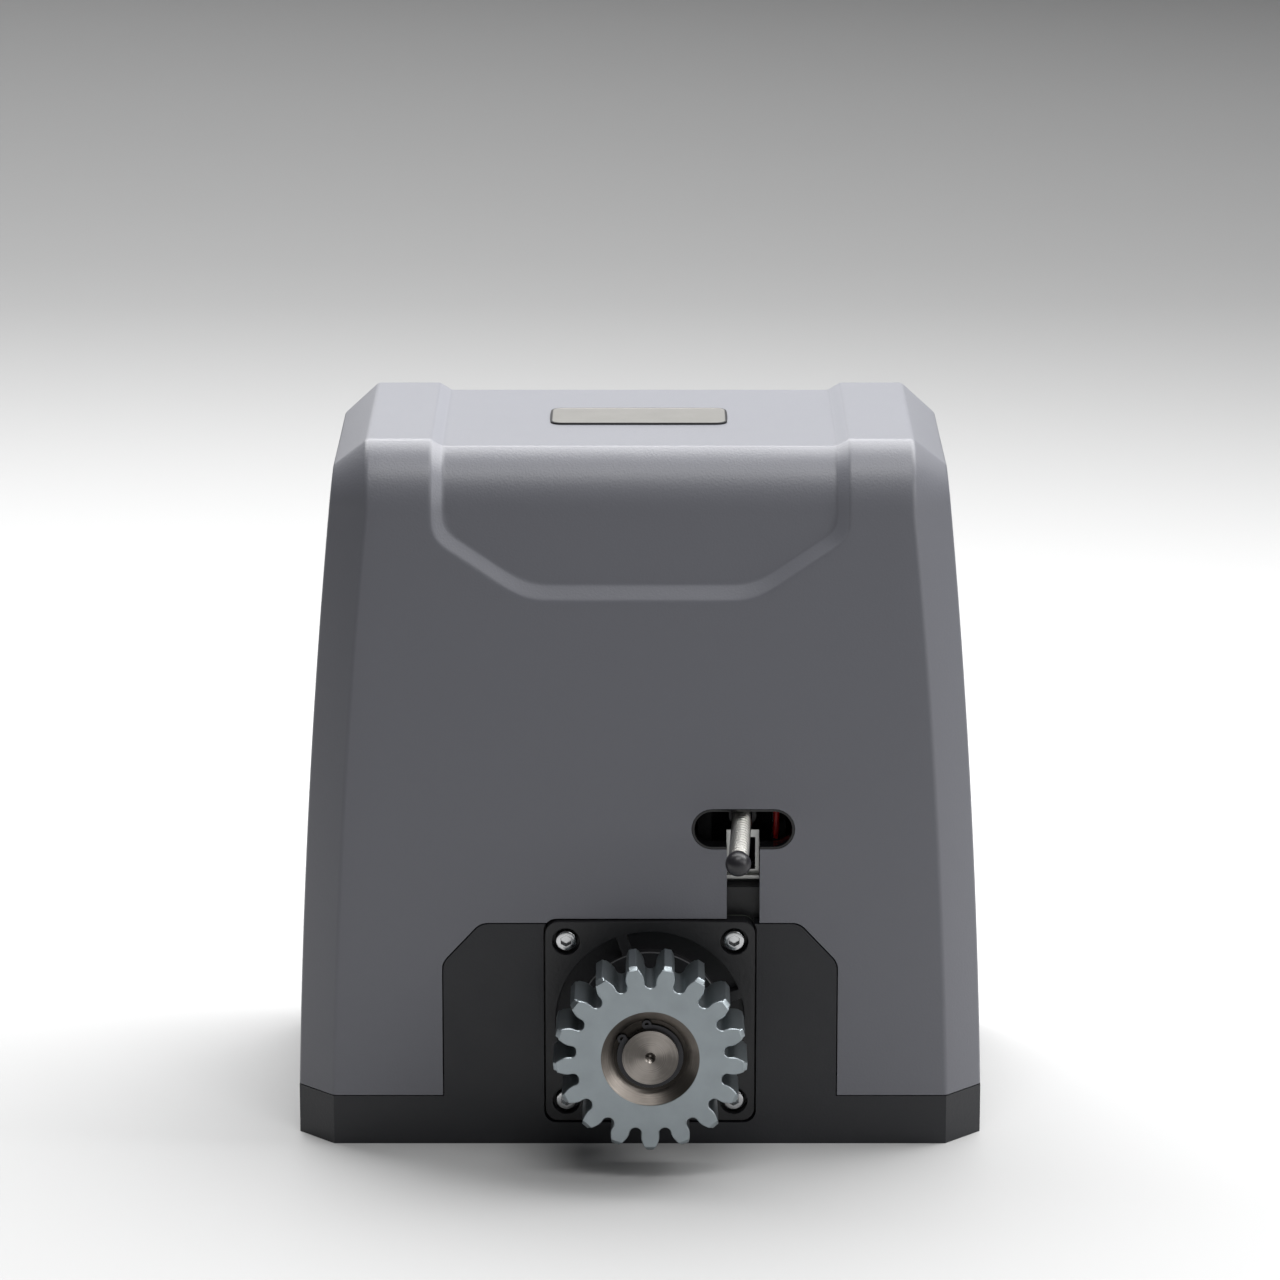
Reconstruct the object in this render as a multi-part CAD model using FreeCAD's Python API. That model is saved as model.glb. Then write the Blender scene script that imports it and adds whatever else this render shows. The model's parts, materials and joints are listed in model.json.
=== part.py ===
import FreeCAD, Part
import math
import os
from FreeCAD import Vector

# Sliding gate motor: moulded hood on a base with its gearbox, pinion in front, spring limit switch.
# Millimetres. Origin at the centre of the footprint, +X right seen from the gate, +Y to the rear, +Z up.

# Hood: leaning walls in a gentle arc, a roll to the top, chamfered corners that run on as top bevels
body_width = 273.0
body_depth = 170.0
body_height = 281.0
lean_low = 1.5
lean_high = 5.5
roll_drop = 26.0
roll_radius = 32.0
corner_leg = 14.45
bevel_out = 13.7
bevel_down = 12.9
hood_wall = 3.0
hood_gap = 0.4
band_height = 20.0

# Raised-shoulder recess across the top of the hood
recess_depth = 3.0
recess_half = 82.0
recess_slope = 5.0
recess_side_drop = 35.7
recess_drop = 60.5
recess_low_half = 45.0
recess_ledge = 6.5
recess_corner = 14.0

# Base tray with its front shield
floor_thick = 5.0
tray_wall = 6.0
rim_rise = 7.0
rim_wall = 2.6
shield_half = 78.0
shield_top = 91.0
shield_top_half = 63.0
shield_shoulder = 75.0
shield_corner = 7.0
shield_thick = 10.0
seam = 0.5
slot_inset_x = 28.5
slot_inset_y = 23.0
slot_width = 9.0
slot_length = 22.0
cable_x = -68.0
cable_inset = 25.0
cable_hole = 25.0
cable_bore = 18.0

# Screws through the hood's foot and up through the tray
cover_screw_radius = 2.0
cover_head_radius = 4.0
cover_head_depth = 2.0
housing_screw_top = 15.0
housing_screw_radius = 3.0
head_sunk = 0.3

# Gearbox housing
shaft_x = 4.0
shaft_z = 51.0
housing_half = 62.0
housing_top = 104.0
rear_wall = 8.0
motor_boss = 50.0
gear_bore = 35.0
gear_depth = 89.0
worm_floor = 8.0
rear_left = -24.0
rear_right = 76.0
rear_top = 84.0

# Bearings and seats in the gearbox
finger_gap = 12.0
lock_tongue_back = 4.0
tongue_length = 20.0
rear_bearing_outer = 23.5
rear_bearing_width = 14.0
worm_bearing_outer = 17.5
worm_bearing_inner = 8.5
worm_bearing_width = 10.0
front_bearing_outer = 26.0
front_bearing_width = 15.0
seal_gap = 0.4
seal_lip = 3.0
tie_depth = 8.0
flange_screw = 2.5
flange_screw_depth = 14.0
seal_width = 7.0
seal_radius = 20.0

# Output flange
flange_side = 83.0
flange_corner = 5.0
flange_sunk = 0.6
gasket_thick = 0.6
flange_gap = 0.7
screw_pitch = 66.6
flange_boss = 29.0
flange_groove = 37.5
groove_depth = 4.0
groove_rib = 4.0
rib_turn = 18.0
spigot_length = 18.0

# Socket screws
head_recess = 5.5
head_radius = 4.25
head_height = 4.0
socket_radius = 2.3
socket_depth = 2.4

# Pinion and output shaft
gear_module = 4.0
pinion_teeth = 17
pinion_width = 25.0
pinion_reach = 44.4
pinion_hub = 20.0
cone_outer = 19.2
cone_inner = 14.7
shaft_sunk = 1.4
shaft_radius = 11.0
shoulder_reach = 5.0
bearing_seat = 12.5
wheel_seat = 12.0
rear_seat = 10.0
collar_radius = 15.0
spline_radius = 13.0
fit = 0.03
key_width = 6.0
key_height = 3.0
circlip_radius = 13.0
circlip_thick = 1.2

# Worm drive: one start, thirty teeth
worm_module = 2.0
worm_radius = 12.0
wheel_teeth = 30
wheel_width = 20.0
wheel_setback = 14.0
backlash = 0.64
worm_turns = 5.5

# Release: dog clutch, push rod, cam lever and its lock
dog_count = 6
dog_height = 3.5
clutch_travel = 4.0
clutch_radius = 25.0
spring_wire = 2.4
spring_turns = 3
rod_radius = 4.5
cam_radius = 8.0
cam_clearance = 0.15
cross_pin = 3.0
hinge_inset = 12.0
hinge_pin = 3.0
lever_end = 50.0
lever_height = 28.0
lever_pocket = 30.0
lock_x = 38.0
lock_radius = 7.0

# Motor
motor_radius = 50.0
motor_flange_height = 19.4
core_height = 60.0
bell_height = 22.0
core_bore = 28.4
air_gap = 0.4
tie_radius = 45.0
tie_screw = 2.5
gasket_sheet = 0.6

# Limit switch
limit_x = 40.8
limit_z = 129.5
limit_pivot_inset = 35.0
window_left = 21.5
window_right = 60.0
window_height = 14.0
window_lip = 1.2
window_slot = 13.0
spring_outer = 4.0
spring_bore = 2.6
spring_root = 5.0
spring_reach = 37.0
spring_yaw = 2.3
tip_radius = 5.0
tip_reach = 41.0
bracket_sheet = 1.5
switch_half = 17.0
swing = 20.0
plunger_radius = 1.5
plunger_length = 2.6
switch_thick = 5.5

# Control board, transformer, its wire and the capacitor
tray_thick = 4.0
board_thick = 1.6
core_half = 21.0
core_thick = 34.0
core_tall = 40.0
coil_out = 6.0
lead_radius = 1.2
lead_bend = 6.0
capacitor_radius = 18.0
capacitor_height = 82.0

# Places that follow from the sizes above
half_width = body_width / 2
half_depth = body_depth / 2
roll_start = body_height - roll_drop
recess_side_low = body_height - recess_side_drop
recess_low = body_height - recess_drop
slot_x = half_width - slot_inset_x
slot_y = half_depth - slot_inset_y
cable_y = half_depth - cable_inset
shield_back = -half_depth + shield_thick
gear_bore_end = shield_back + gear_depth
flange_front = -half_depth + flange_sunk
flange_back = shield_back - gasket_thick
spigot_end = shield_back + spigot_length
pinion_face = -half_depth - pinion_reach
shaft_end = pinion_face + shaft_sunk
shoulder_y = -half_depth - shoulder_reach
hinge_y = half_depth - hinge_inset
limit_pivot_y = -half_depth + limit_pivot_inset
spring_start = limit_pivot_y - spring_root
spring_end = -half_depth - spring_reach
tip_y = -half_depth - tip_reach
motor_x = shaft_x - worm_radius - worm_module * wheel_teeth / 2
worm_y = gear_bore_end - wheel_setback
low = math.radians(lean_low)
high = math.radians(lean_high)
lean_radius = (roll_start - band_height) / (math.sin(high) - math.sin(low))
cover_screw_z = band_height + 14.0

# Along the output shaft, front to rear
front_bearing_end = flange_front + seal_gap + seal_width + seal_lip + front_bearing_width
collar_end = front_bearing_end + 3.6
wheel_front = worm_y - wheel_width / 2
clutch_back = wheel_front - 0.2
clutch_front = clutch_back - 16.0
rod_front = clutch_front + 3.2

# Up the motor
motor_base = housing_top
core_low = motor_base + gasket_sheet + motor_flange_height
core_high = core_low + core_height
bell_top = core_high + bell_height
top_bearing_low = core_high + 9.0

# Round the limit switch's pivot, then the board and the capacitor
bracket_front = limit_pivot_y - 16.0
switch_low = housing_top + 4.0
switch_high = limit_z + 20.5
switch_front = limit_pivot_y - 10.0
switch_back = limit_pivot_y + 30.0
tail_end = limit_pivot_y + 21.0
plunger_y = limit_pivot_y + 18.5
tray_x = half_width - 56.5
board_x = tray_x + 10.0
board_low = housing_top + 14.0
board_high = body_height - 43.0
board_front = -half_depth + 41.0
board_back = half_depth - 35.0
capacitor_x = -half_width + 35.5
capacitor_y = half_depth - 51.0

os.makedirs("parts", exist_ok=True)
parts = {}


# Basic shapes
def box(x0, x1, y0, y1, z0, z1):
    return Part.makeBox(x1 - x0, y1 - y0, z1 - z0, Vector(x0, y0, z0))


def cyl(axis, u, v, radius, start, end):
    """Cylinder along an axis; u and v are its centre on the other two, in X, Y, Z order."""
    base = {"x": Vector(start, u, v), "y": Vector(u, start, v), "z": Vector(u, v, start)}[axis]
    way = {"x": Vector(1, 0, 0), "y": Vector(0, 1, 0), "z": Vector(0, 0, 1)}[axis]
    return Part.makeCylinder(radius, end - start, base, way)


def ring(axis, u, v, inner, outer, start, end):
    return cyl(axis, u, v, outer, start, end).cut(cyl(axis, u, v, inner, start, end))


def on(plane, level):
    """Carries a flat point to its place on a plane at a level."""
    return {
        "xy": lambda u, v: Vector(u, v, level),
        "xz": lambda u, v: Vector(u, level, v),
        "yz": lambda u, v: Vector(level, u, v),
    }[plane]


def outline(points, place):
    """Closed wire through points (u, v, radius), each corner rounded by its radius."""
    spots = [Vector(u, v, 0) for u, v, r in points]
    ends = []
    for i, (u, v, r) in enumerate(points):
        here = spots[i]
        back = (spots[i - 1] - here).normalize()
        ahead = (spots[(i + 1) % len(spots)] - here).normalize()
        if r == 0:
            ends.append((here, here, here))
            continue
        half = back.getAngle(ahead) / 2
        reach = r / math.tan(half)
        middle = (back + ahead).normalize() * (r / math.sin(half) - r)
        ends.append((here + back * reach, here + middle, here + ahead * reach))
    edges = []
    for i, (first, middle, last) in enumerate(ends):
        if points[i][2]:
            edges.append(Part.Arc(*[place(p.x, p.y) for p in (first, middle, last)]).toShape())
        after = ends[(i + 1) % len(ends)][0]
        if last.distanceToPoint(after) > 1e-6:
            edges.append(Part.makeLine(place(last.x, last.y), place(after.x, after.y)))
    return Part.Wire(edges)


def prism(points, plane, start, end):
    way = {"xy": Vector(0, 0, 1), "xz": Vector(0, 1, 0), "yz": Vector(1, 0, 0)}[plane]
    return Part.Face(outline(points, on(plane, start))).extrude(way * (end - start))


def rectangle(u0, u1, v0, v1, r=0.0):
    return [(u0, v0, r), (u1, v0, r), (u1, v1, r), (u0, v1, r)]


def octagon(half_x, half_y, leg):
    points = []
    for sx, sy in ((-1, -1), (1, -1), (1, 1), (-1, 1)):
        pair = [(sx * (half_x - leg), sy * half_y, 0), (sx * half_x, sy * (half_y - leg), 0)]
        points += pair if sx * sy < 0 else pair[::-1]
    return points


def add(name, *shapes):
    """Keeps one sub-part; several shapes become one group of separate solids."""
    solids = [solid for shape in shapes for solid in shape.Solids]
    parts[name] = solids[0] if len(solids) == 1 else Part.makeCompound(solids)


# The hood's form, used for the cover, its cavity and every face that lies flush with it
def lean_point(half, angle, inset):
    """Setback curve of a wall: an arc that leans more towards the top; gives (half span, height)."""
    across = half - lean_radius * math.cos(low) + (lean_radius - inset) * math.cos(angle)
    return across, band_height + (lean_radius - inset) * math.sin(angle) - lean_radius * math.sin(low)


def lean_angle(height, inset=0.0):
    rise = height - band_height + lean_radius * math.sin(low)
    return math.asin(rise / (lean_radius - inset))


def roll_centre():
    y, z = lean_point(half_depth, high, 0)
    return y - roll_radius * math.cos(high), z - roll_radius * math.sin(high)


def mirrored_arc(p0, p1, p2, side, place):
    return Part.Arc(*[place(side * u, v) for u, v in (p0, p1, p2)]).toShape()


def depth_wire(x, inset, bottom):
    """Front-to-back section: leaning arc, roll, flat top, roll, leaning arc."""
    centre_y, centre_z = roll_centre()
    radius = roll_radius - inset
    top = body_height - inset
    crease = math.asin((top - centre_z) / radius)
    start = lean_angle(bottom, inset)
    lean = [lean_point(half_depth, a, inset) for a in (start, (start + high) / 2, high)]
    roll = [
        (centre_y + radius * math.cos(a), centre_z + radius * math.sin(a))
        for a in (high, (high + crease) / 2, crease)
    ]
    place = on("yz", x)
    edges = [
        mirrored_arc(*lean, -1, place),
        mirrored_arc(*roll, -1, place),
        Part.makeLine(place(-roll[2][0], roll[2][1]), place(*roll[2])),
        mirrored_arc(*roll[::-1], 1, place),
        mirrored_arc(*lean[::-1], 1, place),
        Part.makeLine(place(*lean[0]), place(-lean[0][0], lean[0][1])),
    ]
    return Part.Wire(edges)


def depth_solid(inset, bottom, half):
    return Part.Face(depth_wire(-half, inset, bottom)).extrude(Vector(2 * half, 0, 0))


def mitre(point, first, second, inset):
    """Moves a convex corner inwards from both of its faces."""
    share = inset / (1 + first[0] * second[0] + first[1] * second[1])
    return point[0] - share * (first[0] + second[0]), point[1] - share * (first[1] + second[1])


def bevel_corners(inset):
    """Lower and upper ends of the top side bevel, as (half width, height)."""
    angle = lean_angle(body_height - bevel_down)
    lower = lean_point(half_width, angle, 0)
    upper = (lower[0] - bevel_out, body_height)
    length = math.hypot(bevel_out, bevel_down)
    slope = (bevel_down / length, bevel_out / length)
    side = (math.cos(angle), math.sin(angle))
    return mitre(lower, side, slope, inset), mitre(upper, slope, (0, 1), inset)


def width_solid(inset, bottom):
    """Side-to-side section carried front to back."""
    lower, upper = bevel_corners(inset)
    start = lean_angle(bottom, inset)
    end = lean_angle(lower[1], inset)
    lean = [lean_point(half_width, a, inset) for a in (start, (start + end) / 2)] + [lower]
    place = on("xz", -body_depth)
    edges = [
        mirrored_arc(*lean, -1, place),
        Part.makeLine(place(-lower[0], lower[1]), place(-upper[0], upper[1])),
        Part.makeLine(place(-upper[0], upper[1]), place(*upper)),
        Part.makeLine(place(*upper), place(*lower)),
        mirrored_arc(*lean[::-1], 1, place),
        Part.makeLine(place(*lean[0]), place(-lean[0][0], lean[0][1])),
    ]
    return Part.Face(Part.Wire(edges)).extrude(Vector(0, 2 * body_depth, 0))


def corner_solid(inset, bottom, turn):
    """Bounds two opposite vertical corners by their chamfers, which lean with the walls."""
    points = []
    for share in (0, 0.5, 1):
        height = bottom + share * (body_height - bottom)
        angle = lean_angle(height)
        reach = lean_point(half_width, angle, 0)[0] + lean_point(half_depth, angle, 0)[0] - corner_leg
        points.append((reach / math.sqrt(2) - inset, height))
    place = on("xz", -body_width)
    edges = [
        mirrored_arc(*points, -1, place),
        Part.makeLine(place(-points[2][0], points[2][1]), place(*points[2])),
        mirrored_arc(*points[::-1], 1, place),
        Part.makeLine(place(*points[0]), place(-points[0][0], points[0][1])),
    ]
    solid = Part.Face(Part.Wire(edges)).extrude(Vector(0, 2 * body_width, 0))
    solid.rotate(Vector(), Vector(0, 0, 1), turn)
    return solid


def roll_bevel(inset):
    """Cone that carries the corner chamfer round the roll, made once and mirrored to four corners."""
    centre_y, centre_z = roll_centre()
    crease = math.asin((body_height - centre_z) / roll_radius)
    lower, upper = bevel_corners(0)
    length = math.hypot(bevel_out, bevel_down)
    along = Vector(bevel_out / length, -bevel_down / length, 0)
    inward = Vector(-bevel_down / length, -bevel_out / length, 0) * inset
    middle = Vector((lower[0] + upper[0]) / 2, roll_radius - bevel_down / 2, 0) + inward
    first = middle - along * length
    last = middle + along * length
    corner = Vector(last.x, first.y, 0)
    points = [
        Vector(p.x, -centre_y - p.y * math.cos(high), centre_z + p.y * math.sin(high))
        for p in (first, last, corner)
    ]
    face = Part.Face(Part.makePolygon(points + points[:1]))
    turn = math.degrees(crease - high)
    right = face.revolve(Vector(0, -centre_y, centre_z), Vector(-1, 0, 0), turn)
    front = [right, right.mirror(Vector(), Vector(1, 0, 0))]
    return front + [piece.mirror(Vector(), Vector(0, 1, 0)) for piece in front]


def hood(inset, bottom):
    solid = depth_solid(inset, bottom, body_width).common(width_solid(inset, bottom))
    for turn in (45, -45):
        solid = solid.common(corner_solid(inset, bottom, turn))
    return solid.cut(Part.makeCompound(roll_bevel(inset)))


def recess_outline(shift_x, shift_z):
    half = recess_half - shift_x
    return [
        (-half, recess_side_low + shift_z, recess_corner),
        (-recess_low_half + shift_x / 3, recess_low + shift_z, recess_corner),
        (recess_low_half - shift_x / 3, recess_low + shift_z, recess_corner),
        (half, recess_side_low + shift_z, recess_corner),
        (half, body_height + 30, 0),
        (-half, body_height + 30, 0),
    ]


def recess():
    """Shallow panel sunk between the shoulders, with sloping sides and a sloping lower ledge."""
    band = depth_solid(-1, band_height + 1, recess_half)
    core = depth_solid(recess_depth, band_height, recess_half - recess_slope)
    sides = []
    for side in (-1, 1):
        wires = [
            depth_wire(side * (recess_half - recess_slope), recess_depth, band_height + 1),
            depth_wire(side * recess_half, 0, band_height + 1),
        ]
        sides.append(Part.makeLoft(wires, True, True))
    band = band.cut(core).cut(sides[0]).cut(sides[1])
    angle = lean_angle(recess_low)
    face_y = -lean_point(half_depth, angle, 0)[0]
    ledge = [
        outline(recess_outline(-recess_slope, -recess_ledge), on("xz", face_y - recess_depth)),
        outline(recess_outline(recess_slope, recess_ledge), on("xz", face_y + recess_depth)),
    ]
    front = Part.makeLoft(ledge, True, True)
    inside = Part.Face(outline(recess_outline(recess_slope, recess_ledge), on("xz", face_y + recess_depth)))
    front = front.fuse(inside.extrude(Vector(0, -face_y, 0)))
    return band.common(front.fuse(front.mirror(Vector(), Vector(0, 1, 0))))


def shield_outline(grow, bottom):
    return [
        (-shield_half - grow, bottom, 0),
        (shield_half + grow, bottom, 0),
        (shield_half + grow, shield_shoulder + grow / 2, shield_corner),
        (shield_top_half + grow / 2, shield_top + grow, shield_corner),
        (-shield_top_half - grow / 2, shield_top + grow, shield_corner),
        (-shield_half - grow, shield_shoulder + grow / 2, shield_corner),
    ]


def rear_outline(grow, bottom):
    return [
        (rear_left - grow, bottom, 0),
        (rear_right + grow, bottom, 0),
        (rear_right + grow, rear_top + grow, shield_corner),
        (rear_left - grow, rear_top + grow, shield_corner),
    ]


def window_outline(grow, level):
    middle = limit_z
    radius = window_height / 2 + grow
    return prism(
        rectangle(window_left - grow, window_right + grow, middle - radius, middle + radius, radius - 0.01),
        "xz", -half_depth - 5, level,
    )


def slot_box(level):
    half = window_slot / 2
    return box(limit_x - half, limit_x + half, -half_depth - 5, level, shield_top, limit_z)


def flange_prism(grow, start, end):
    side = flange_side / 2 + grow
    square = rectangle(shaft_x - side, shaft_x + side, shaft_z - side, shaft_z + side, flange_corner)
    return prism(square, "xz", start, end)


def make_cover():
    bottom = band_height + hood_gap
    shell = hood(0, bottom).cut(recess())
    cavity = hood(hood_wall, band_height)
    sunk = box(-recess_half - hood_wall, recess_half + hood_wall, -half_depth, half_depth,
               recess_low - hood_wall, body_height)
    cavity = cavity.cut(sunk.cut(depth_solid(hood_wall + recess_depth, band_height, body_width)))
    shell = shell.cut(cavity)
    shell = shell.cut(prism(shield_outline(seam, 0), "xz", -half_depth - 5, -half_depth + 20))
    shell = shell.cut(flange_prism(flange_gap, -half_depth - 5, shield_back))
    shell = shell.cut(prism(rear_outline(seam, 0), "xz", half_depth - 20, half_depth + 5))
    shell = shell.cut(window_outline(window_lip, -half_depth + 20)).cut(slot_box(-half_depth + 20))
    for place in cover_screw_places():
        shell = shell.cut(cover_screw(place, fit, 0.0))
    add("cover_shell", shell)
    sleeve = window_outline(window_lip, -half_depth + 13).cut(window_outline(0, -half_depth + 14))
    sleeve = sleeve.cut(slot_box(-half_depth + 14))
    add("window_bezel", sleeve.common(hood(0.4, band_height)))
    plate = prism(rectangle(-36, 35, -14.5, 14.5, 4), "xy",
                  body_height - recess_depth, body_height - recess_depth + 0.8)
    add("nameplate", plate)


# Cover screws go sideways through the hood's foot into lugs of the tray
def cover_screw_places():
    return [(side, y) for side in (-1, 1) for y in (37.0 - half_depth, half_depth - 37.0)]


def cover_screw(place, extra, head_extra):
    side, y = place
    wall = lean_point(half_width, lean_angle(cover_screw_z), 0)[0]
    ends = (wall - 14, wall - cover_head_depth)
    shank = cyl("x", y, cover_screw_z, cover_screw_radius + extra, *ends)
    head = cyl("x", y, cover_screw_z, cover_head_radius + extra, ends[1], wall + head_extra)
    screw = shank.fuse(head)
    return screw if side > 0 else screw.mirror(Vector(), Vector(1, 0, 0))


def make_tray():
    tray = prism(octagon(half_width, half_depth, corner_leg), "xy", 0, band_height)
    pocket_leg = corner_leg + tray_wall * (2 - math.sqrt(2))
    pocket = octagon(half_width - tray_wall, half_depth - tray_wall, pocket_leg)
    tray = tray.cut(prism(pocket, "xy", floor_thick, band_height))
    rim_out = hood_wall + hood_gap
    rim = prism(octagon(half_width - rim_out, half_depth - rim_out, corner_leg + rim_out / 2), "xy",
                band_height, band_height + rim_rise)
    rim_in = rim_out + rim_wall
    rim = rim.cut(prism(octagon(half_width - rim_in, half_depth - rim_in, corner_leg + rim_in / 2), "xy",
                        band_height, band_height + rim_rise))
    rim = rim.cut(prism(rear_outline(seam, 0), "xz", 0, half_depth))
    wall = lean_point(half_width, lean_angle(cover_screw_z), hood_wall + hood_gap)[0]
    for side, y in cover_screw_places():
        lug = box(wall - 10, wall, y - 6, y + 6, floor_thick, cover_screw_z + 6)
        rim = rim.fuse(lug if side > 0 else lug.mirror(Vector(), Vector(1, 0, 0)))
    shield = prism(shield_outline(0, band_height), "xz", -half_depth - 1, -half_depth + shield_thick)
    shield = shield.common(depth_solid(0, band_height, body_width))
    tray = tray.fuse(rim).fuse(shield).removeSplitter()
    tray = tray.cut(flange_prism(flange_gap, -half_depth - 2, shield_back))
    half = slot_length / 2
    wide = slot_width / 2
    for sx in (-1, 1):
        for sy in (-1, 1):
            hole = rectangle(sx * slot_x - half, sx * slot_x + half,
                             sy * slot_y - wide, sy * slot_y + wide, wide - 0.001)
            tray = tray.cut(prism(hole, "xy", 0, floor_thick))
    tray = tray.cut(cyl("z", cable_x, cable_y, cable_hole / 2, 0, floor_thick))
    for place in housing_screw_places():
        tray = tray.cut(housing_screw(place, 0.0))
    for place in cover_screw_places():
        tray = tray.cut(cover_screw(place, fit, 5))
    add("base_tray", tray)


def housing_screw_places():
    front = shield_back + 15
    rear = gear_bore_end + 12
    right = housing_half - 7
    return [(-housing_half + 10, front), (right, front), (right, rear), (-8.0, rear + 20)]


def housing_screw(place, sunk):
    """Countersunk screw from below; sunk is how far its head lies above the underside."""
    x, y = place
    shank = cyl("z", x, y, housing_screw_radius, sunk, housing_screw_top)
    head = Part.makeCone(2 * housing_screw_radius, housing_screw_radius, housing_screw_radius,
                         Vector(x, y, head_sunk), Vector(0, 0, 1))
    if sunk < head_sunk:
        head = head.fuse(cyl("z", x, y, 2 * housing_screw_radius, sunk, head_sunk))
    return shank.fuse(head)


def make_housing():
    housing_rear = gear_bore_end + rear_bearing_width + rear_wall
    block = prism(rectangle(-housing_half, housing_half, shield_back, housing_rear, 6), "xy",
                  floor_thick, housing_top)
    block = block.fuse(cyl("z", motor_x, worm_y, motor_boss, floor_thick, housing_top))
    arm = prism(rear_outline(0, floor_thick), "xz", housing_rear - 8, half_depth - tray_wall - 0.3)
    face = prism(rear_outline(0, band_height + hood_gap), "xz", half_depth - tray_wall - 1, half_depth + 1)
    arm = arm.fuse(face.common(depth_solid(0, band_height, body_width)))
    block = block.fuse(arm).removeSplitter()
    block = block.cut(cyl("y", shaft_x, shaft_z, gear_bore, shield_back, gear_bore_end))
    block = block.cut(cyl("y", shaft_x, shaft_z, rear_bearing_outer, gear_bore_end,
                          gear_bore_end + rear_bearing_width))
    block = block.cut(cyl("y", shaft_x, shaft_z, rod_radius + 2 * fit, gear_bore_end, half_depth))
    block = block.cut(cyl("z", motor_x, worm_y, worm_bearing_outer, worm_floor, housing_top))
    for place in housing_screw_places():
        block = block.cut(housing_screw(place, 0.0))
    for x, y in tie_places():
        block = block.cut(cyl("z", x, y, tie_screw, housing_top - tie_depth, housing_top))
    for x, z in flange_screw_places():
        block = block.cut(cyl("y", x, z, flange_screw, shield_back, shield_back + flange_screw_depth))
    block = block.cut(lever_space())
    add("gearbox_housing", block)


def lever_space():
    """Pocket for the release lever, its round cam space, the finger gap and the sweep of the lock's tongue."""
    low_z = shaft_z - lever_pocket / 2
    high_z = shaft_z + lever_pocket / 2
    reach = cam_offset() + cam_radius + 0.4
    back = hinge_y - lock_tongue_back - 0.7
    space = box(shaft_x - reach - 1.3, shaft_x + lever_end + finger_gap, back, half_depth + 5, low_z, high_z)
    space = space.fuse(cyl("z", shaft_x, hinge_y, reach, low_z, high_z))
    lock = shaft_x + lock_x
    sweep = tongue_length + 1
    keeper = cyl("y", lock, shaft_z, sweep, back, back + 4.4)
    keeper = keeper.common(box(lock, lock + sweep, back, back + 4.4, shaft_z - sweep, low_z))
    space = space.fuse(box(lock - 4.6, lock + 4.6, back, back + 4.4, shaft_z - sweep, low_z)).fuse(keeper)
    return space.fuse(cyl("z", shaft_x, hinge_y, hinge_pin, low_z - 6, high_z + 8))


def cam_offset():
    """The cam's centre swings from 45 degrees before to 45 degrees past square, so its lift is even."""
    return clutch_travel / (2 * math.sin(math.radians(45)))


def tie_places():
    return [
        (motor_x + tie_radius * math.cos(math.radians(a)), worm_y + tie_radius * math.sin(math.radians(a)))
        for a in (45, 135, 225, 315)
    ]


def flange_screw_places():
    half = screw_pitch / 2
    return [(shaft_x + sx * half, shaft_z + sz * half) for sx in (-1, 1) for sz in (-1, 1)]


def bearing(axis, u, v, inner, outer, start, width):
    """Shielded bearing as one closed unit."""
    return ring(axis, u, v, inner, outer, start, start + width)


def socket_screw(x, z, head_back, tip):
    """Cylinder-head screw with a hexagon socket, its head towards the viewer."""
    front = head_back - head_height
    screw = cyl("y", x, z, head_radius, front, head_back).fuse(cyl("y", x, z, flange_screw, head_back, tip))
    points = []
    for k in range(6):
        turn = math.radians(60 * k)
        points.append((x + socket_radius * math.cos(turn), z + socket_radius * math.sin(turn), 0))
    return screw.cut(prism(points, "xz", front, front + socket_depth))


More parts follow.
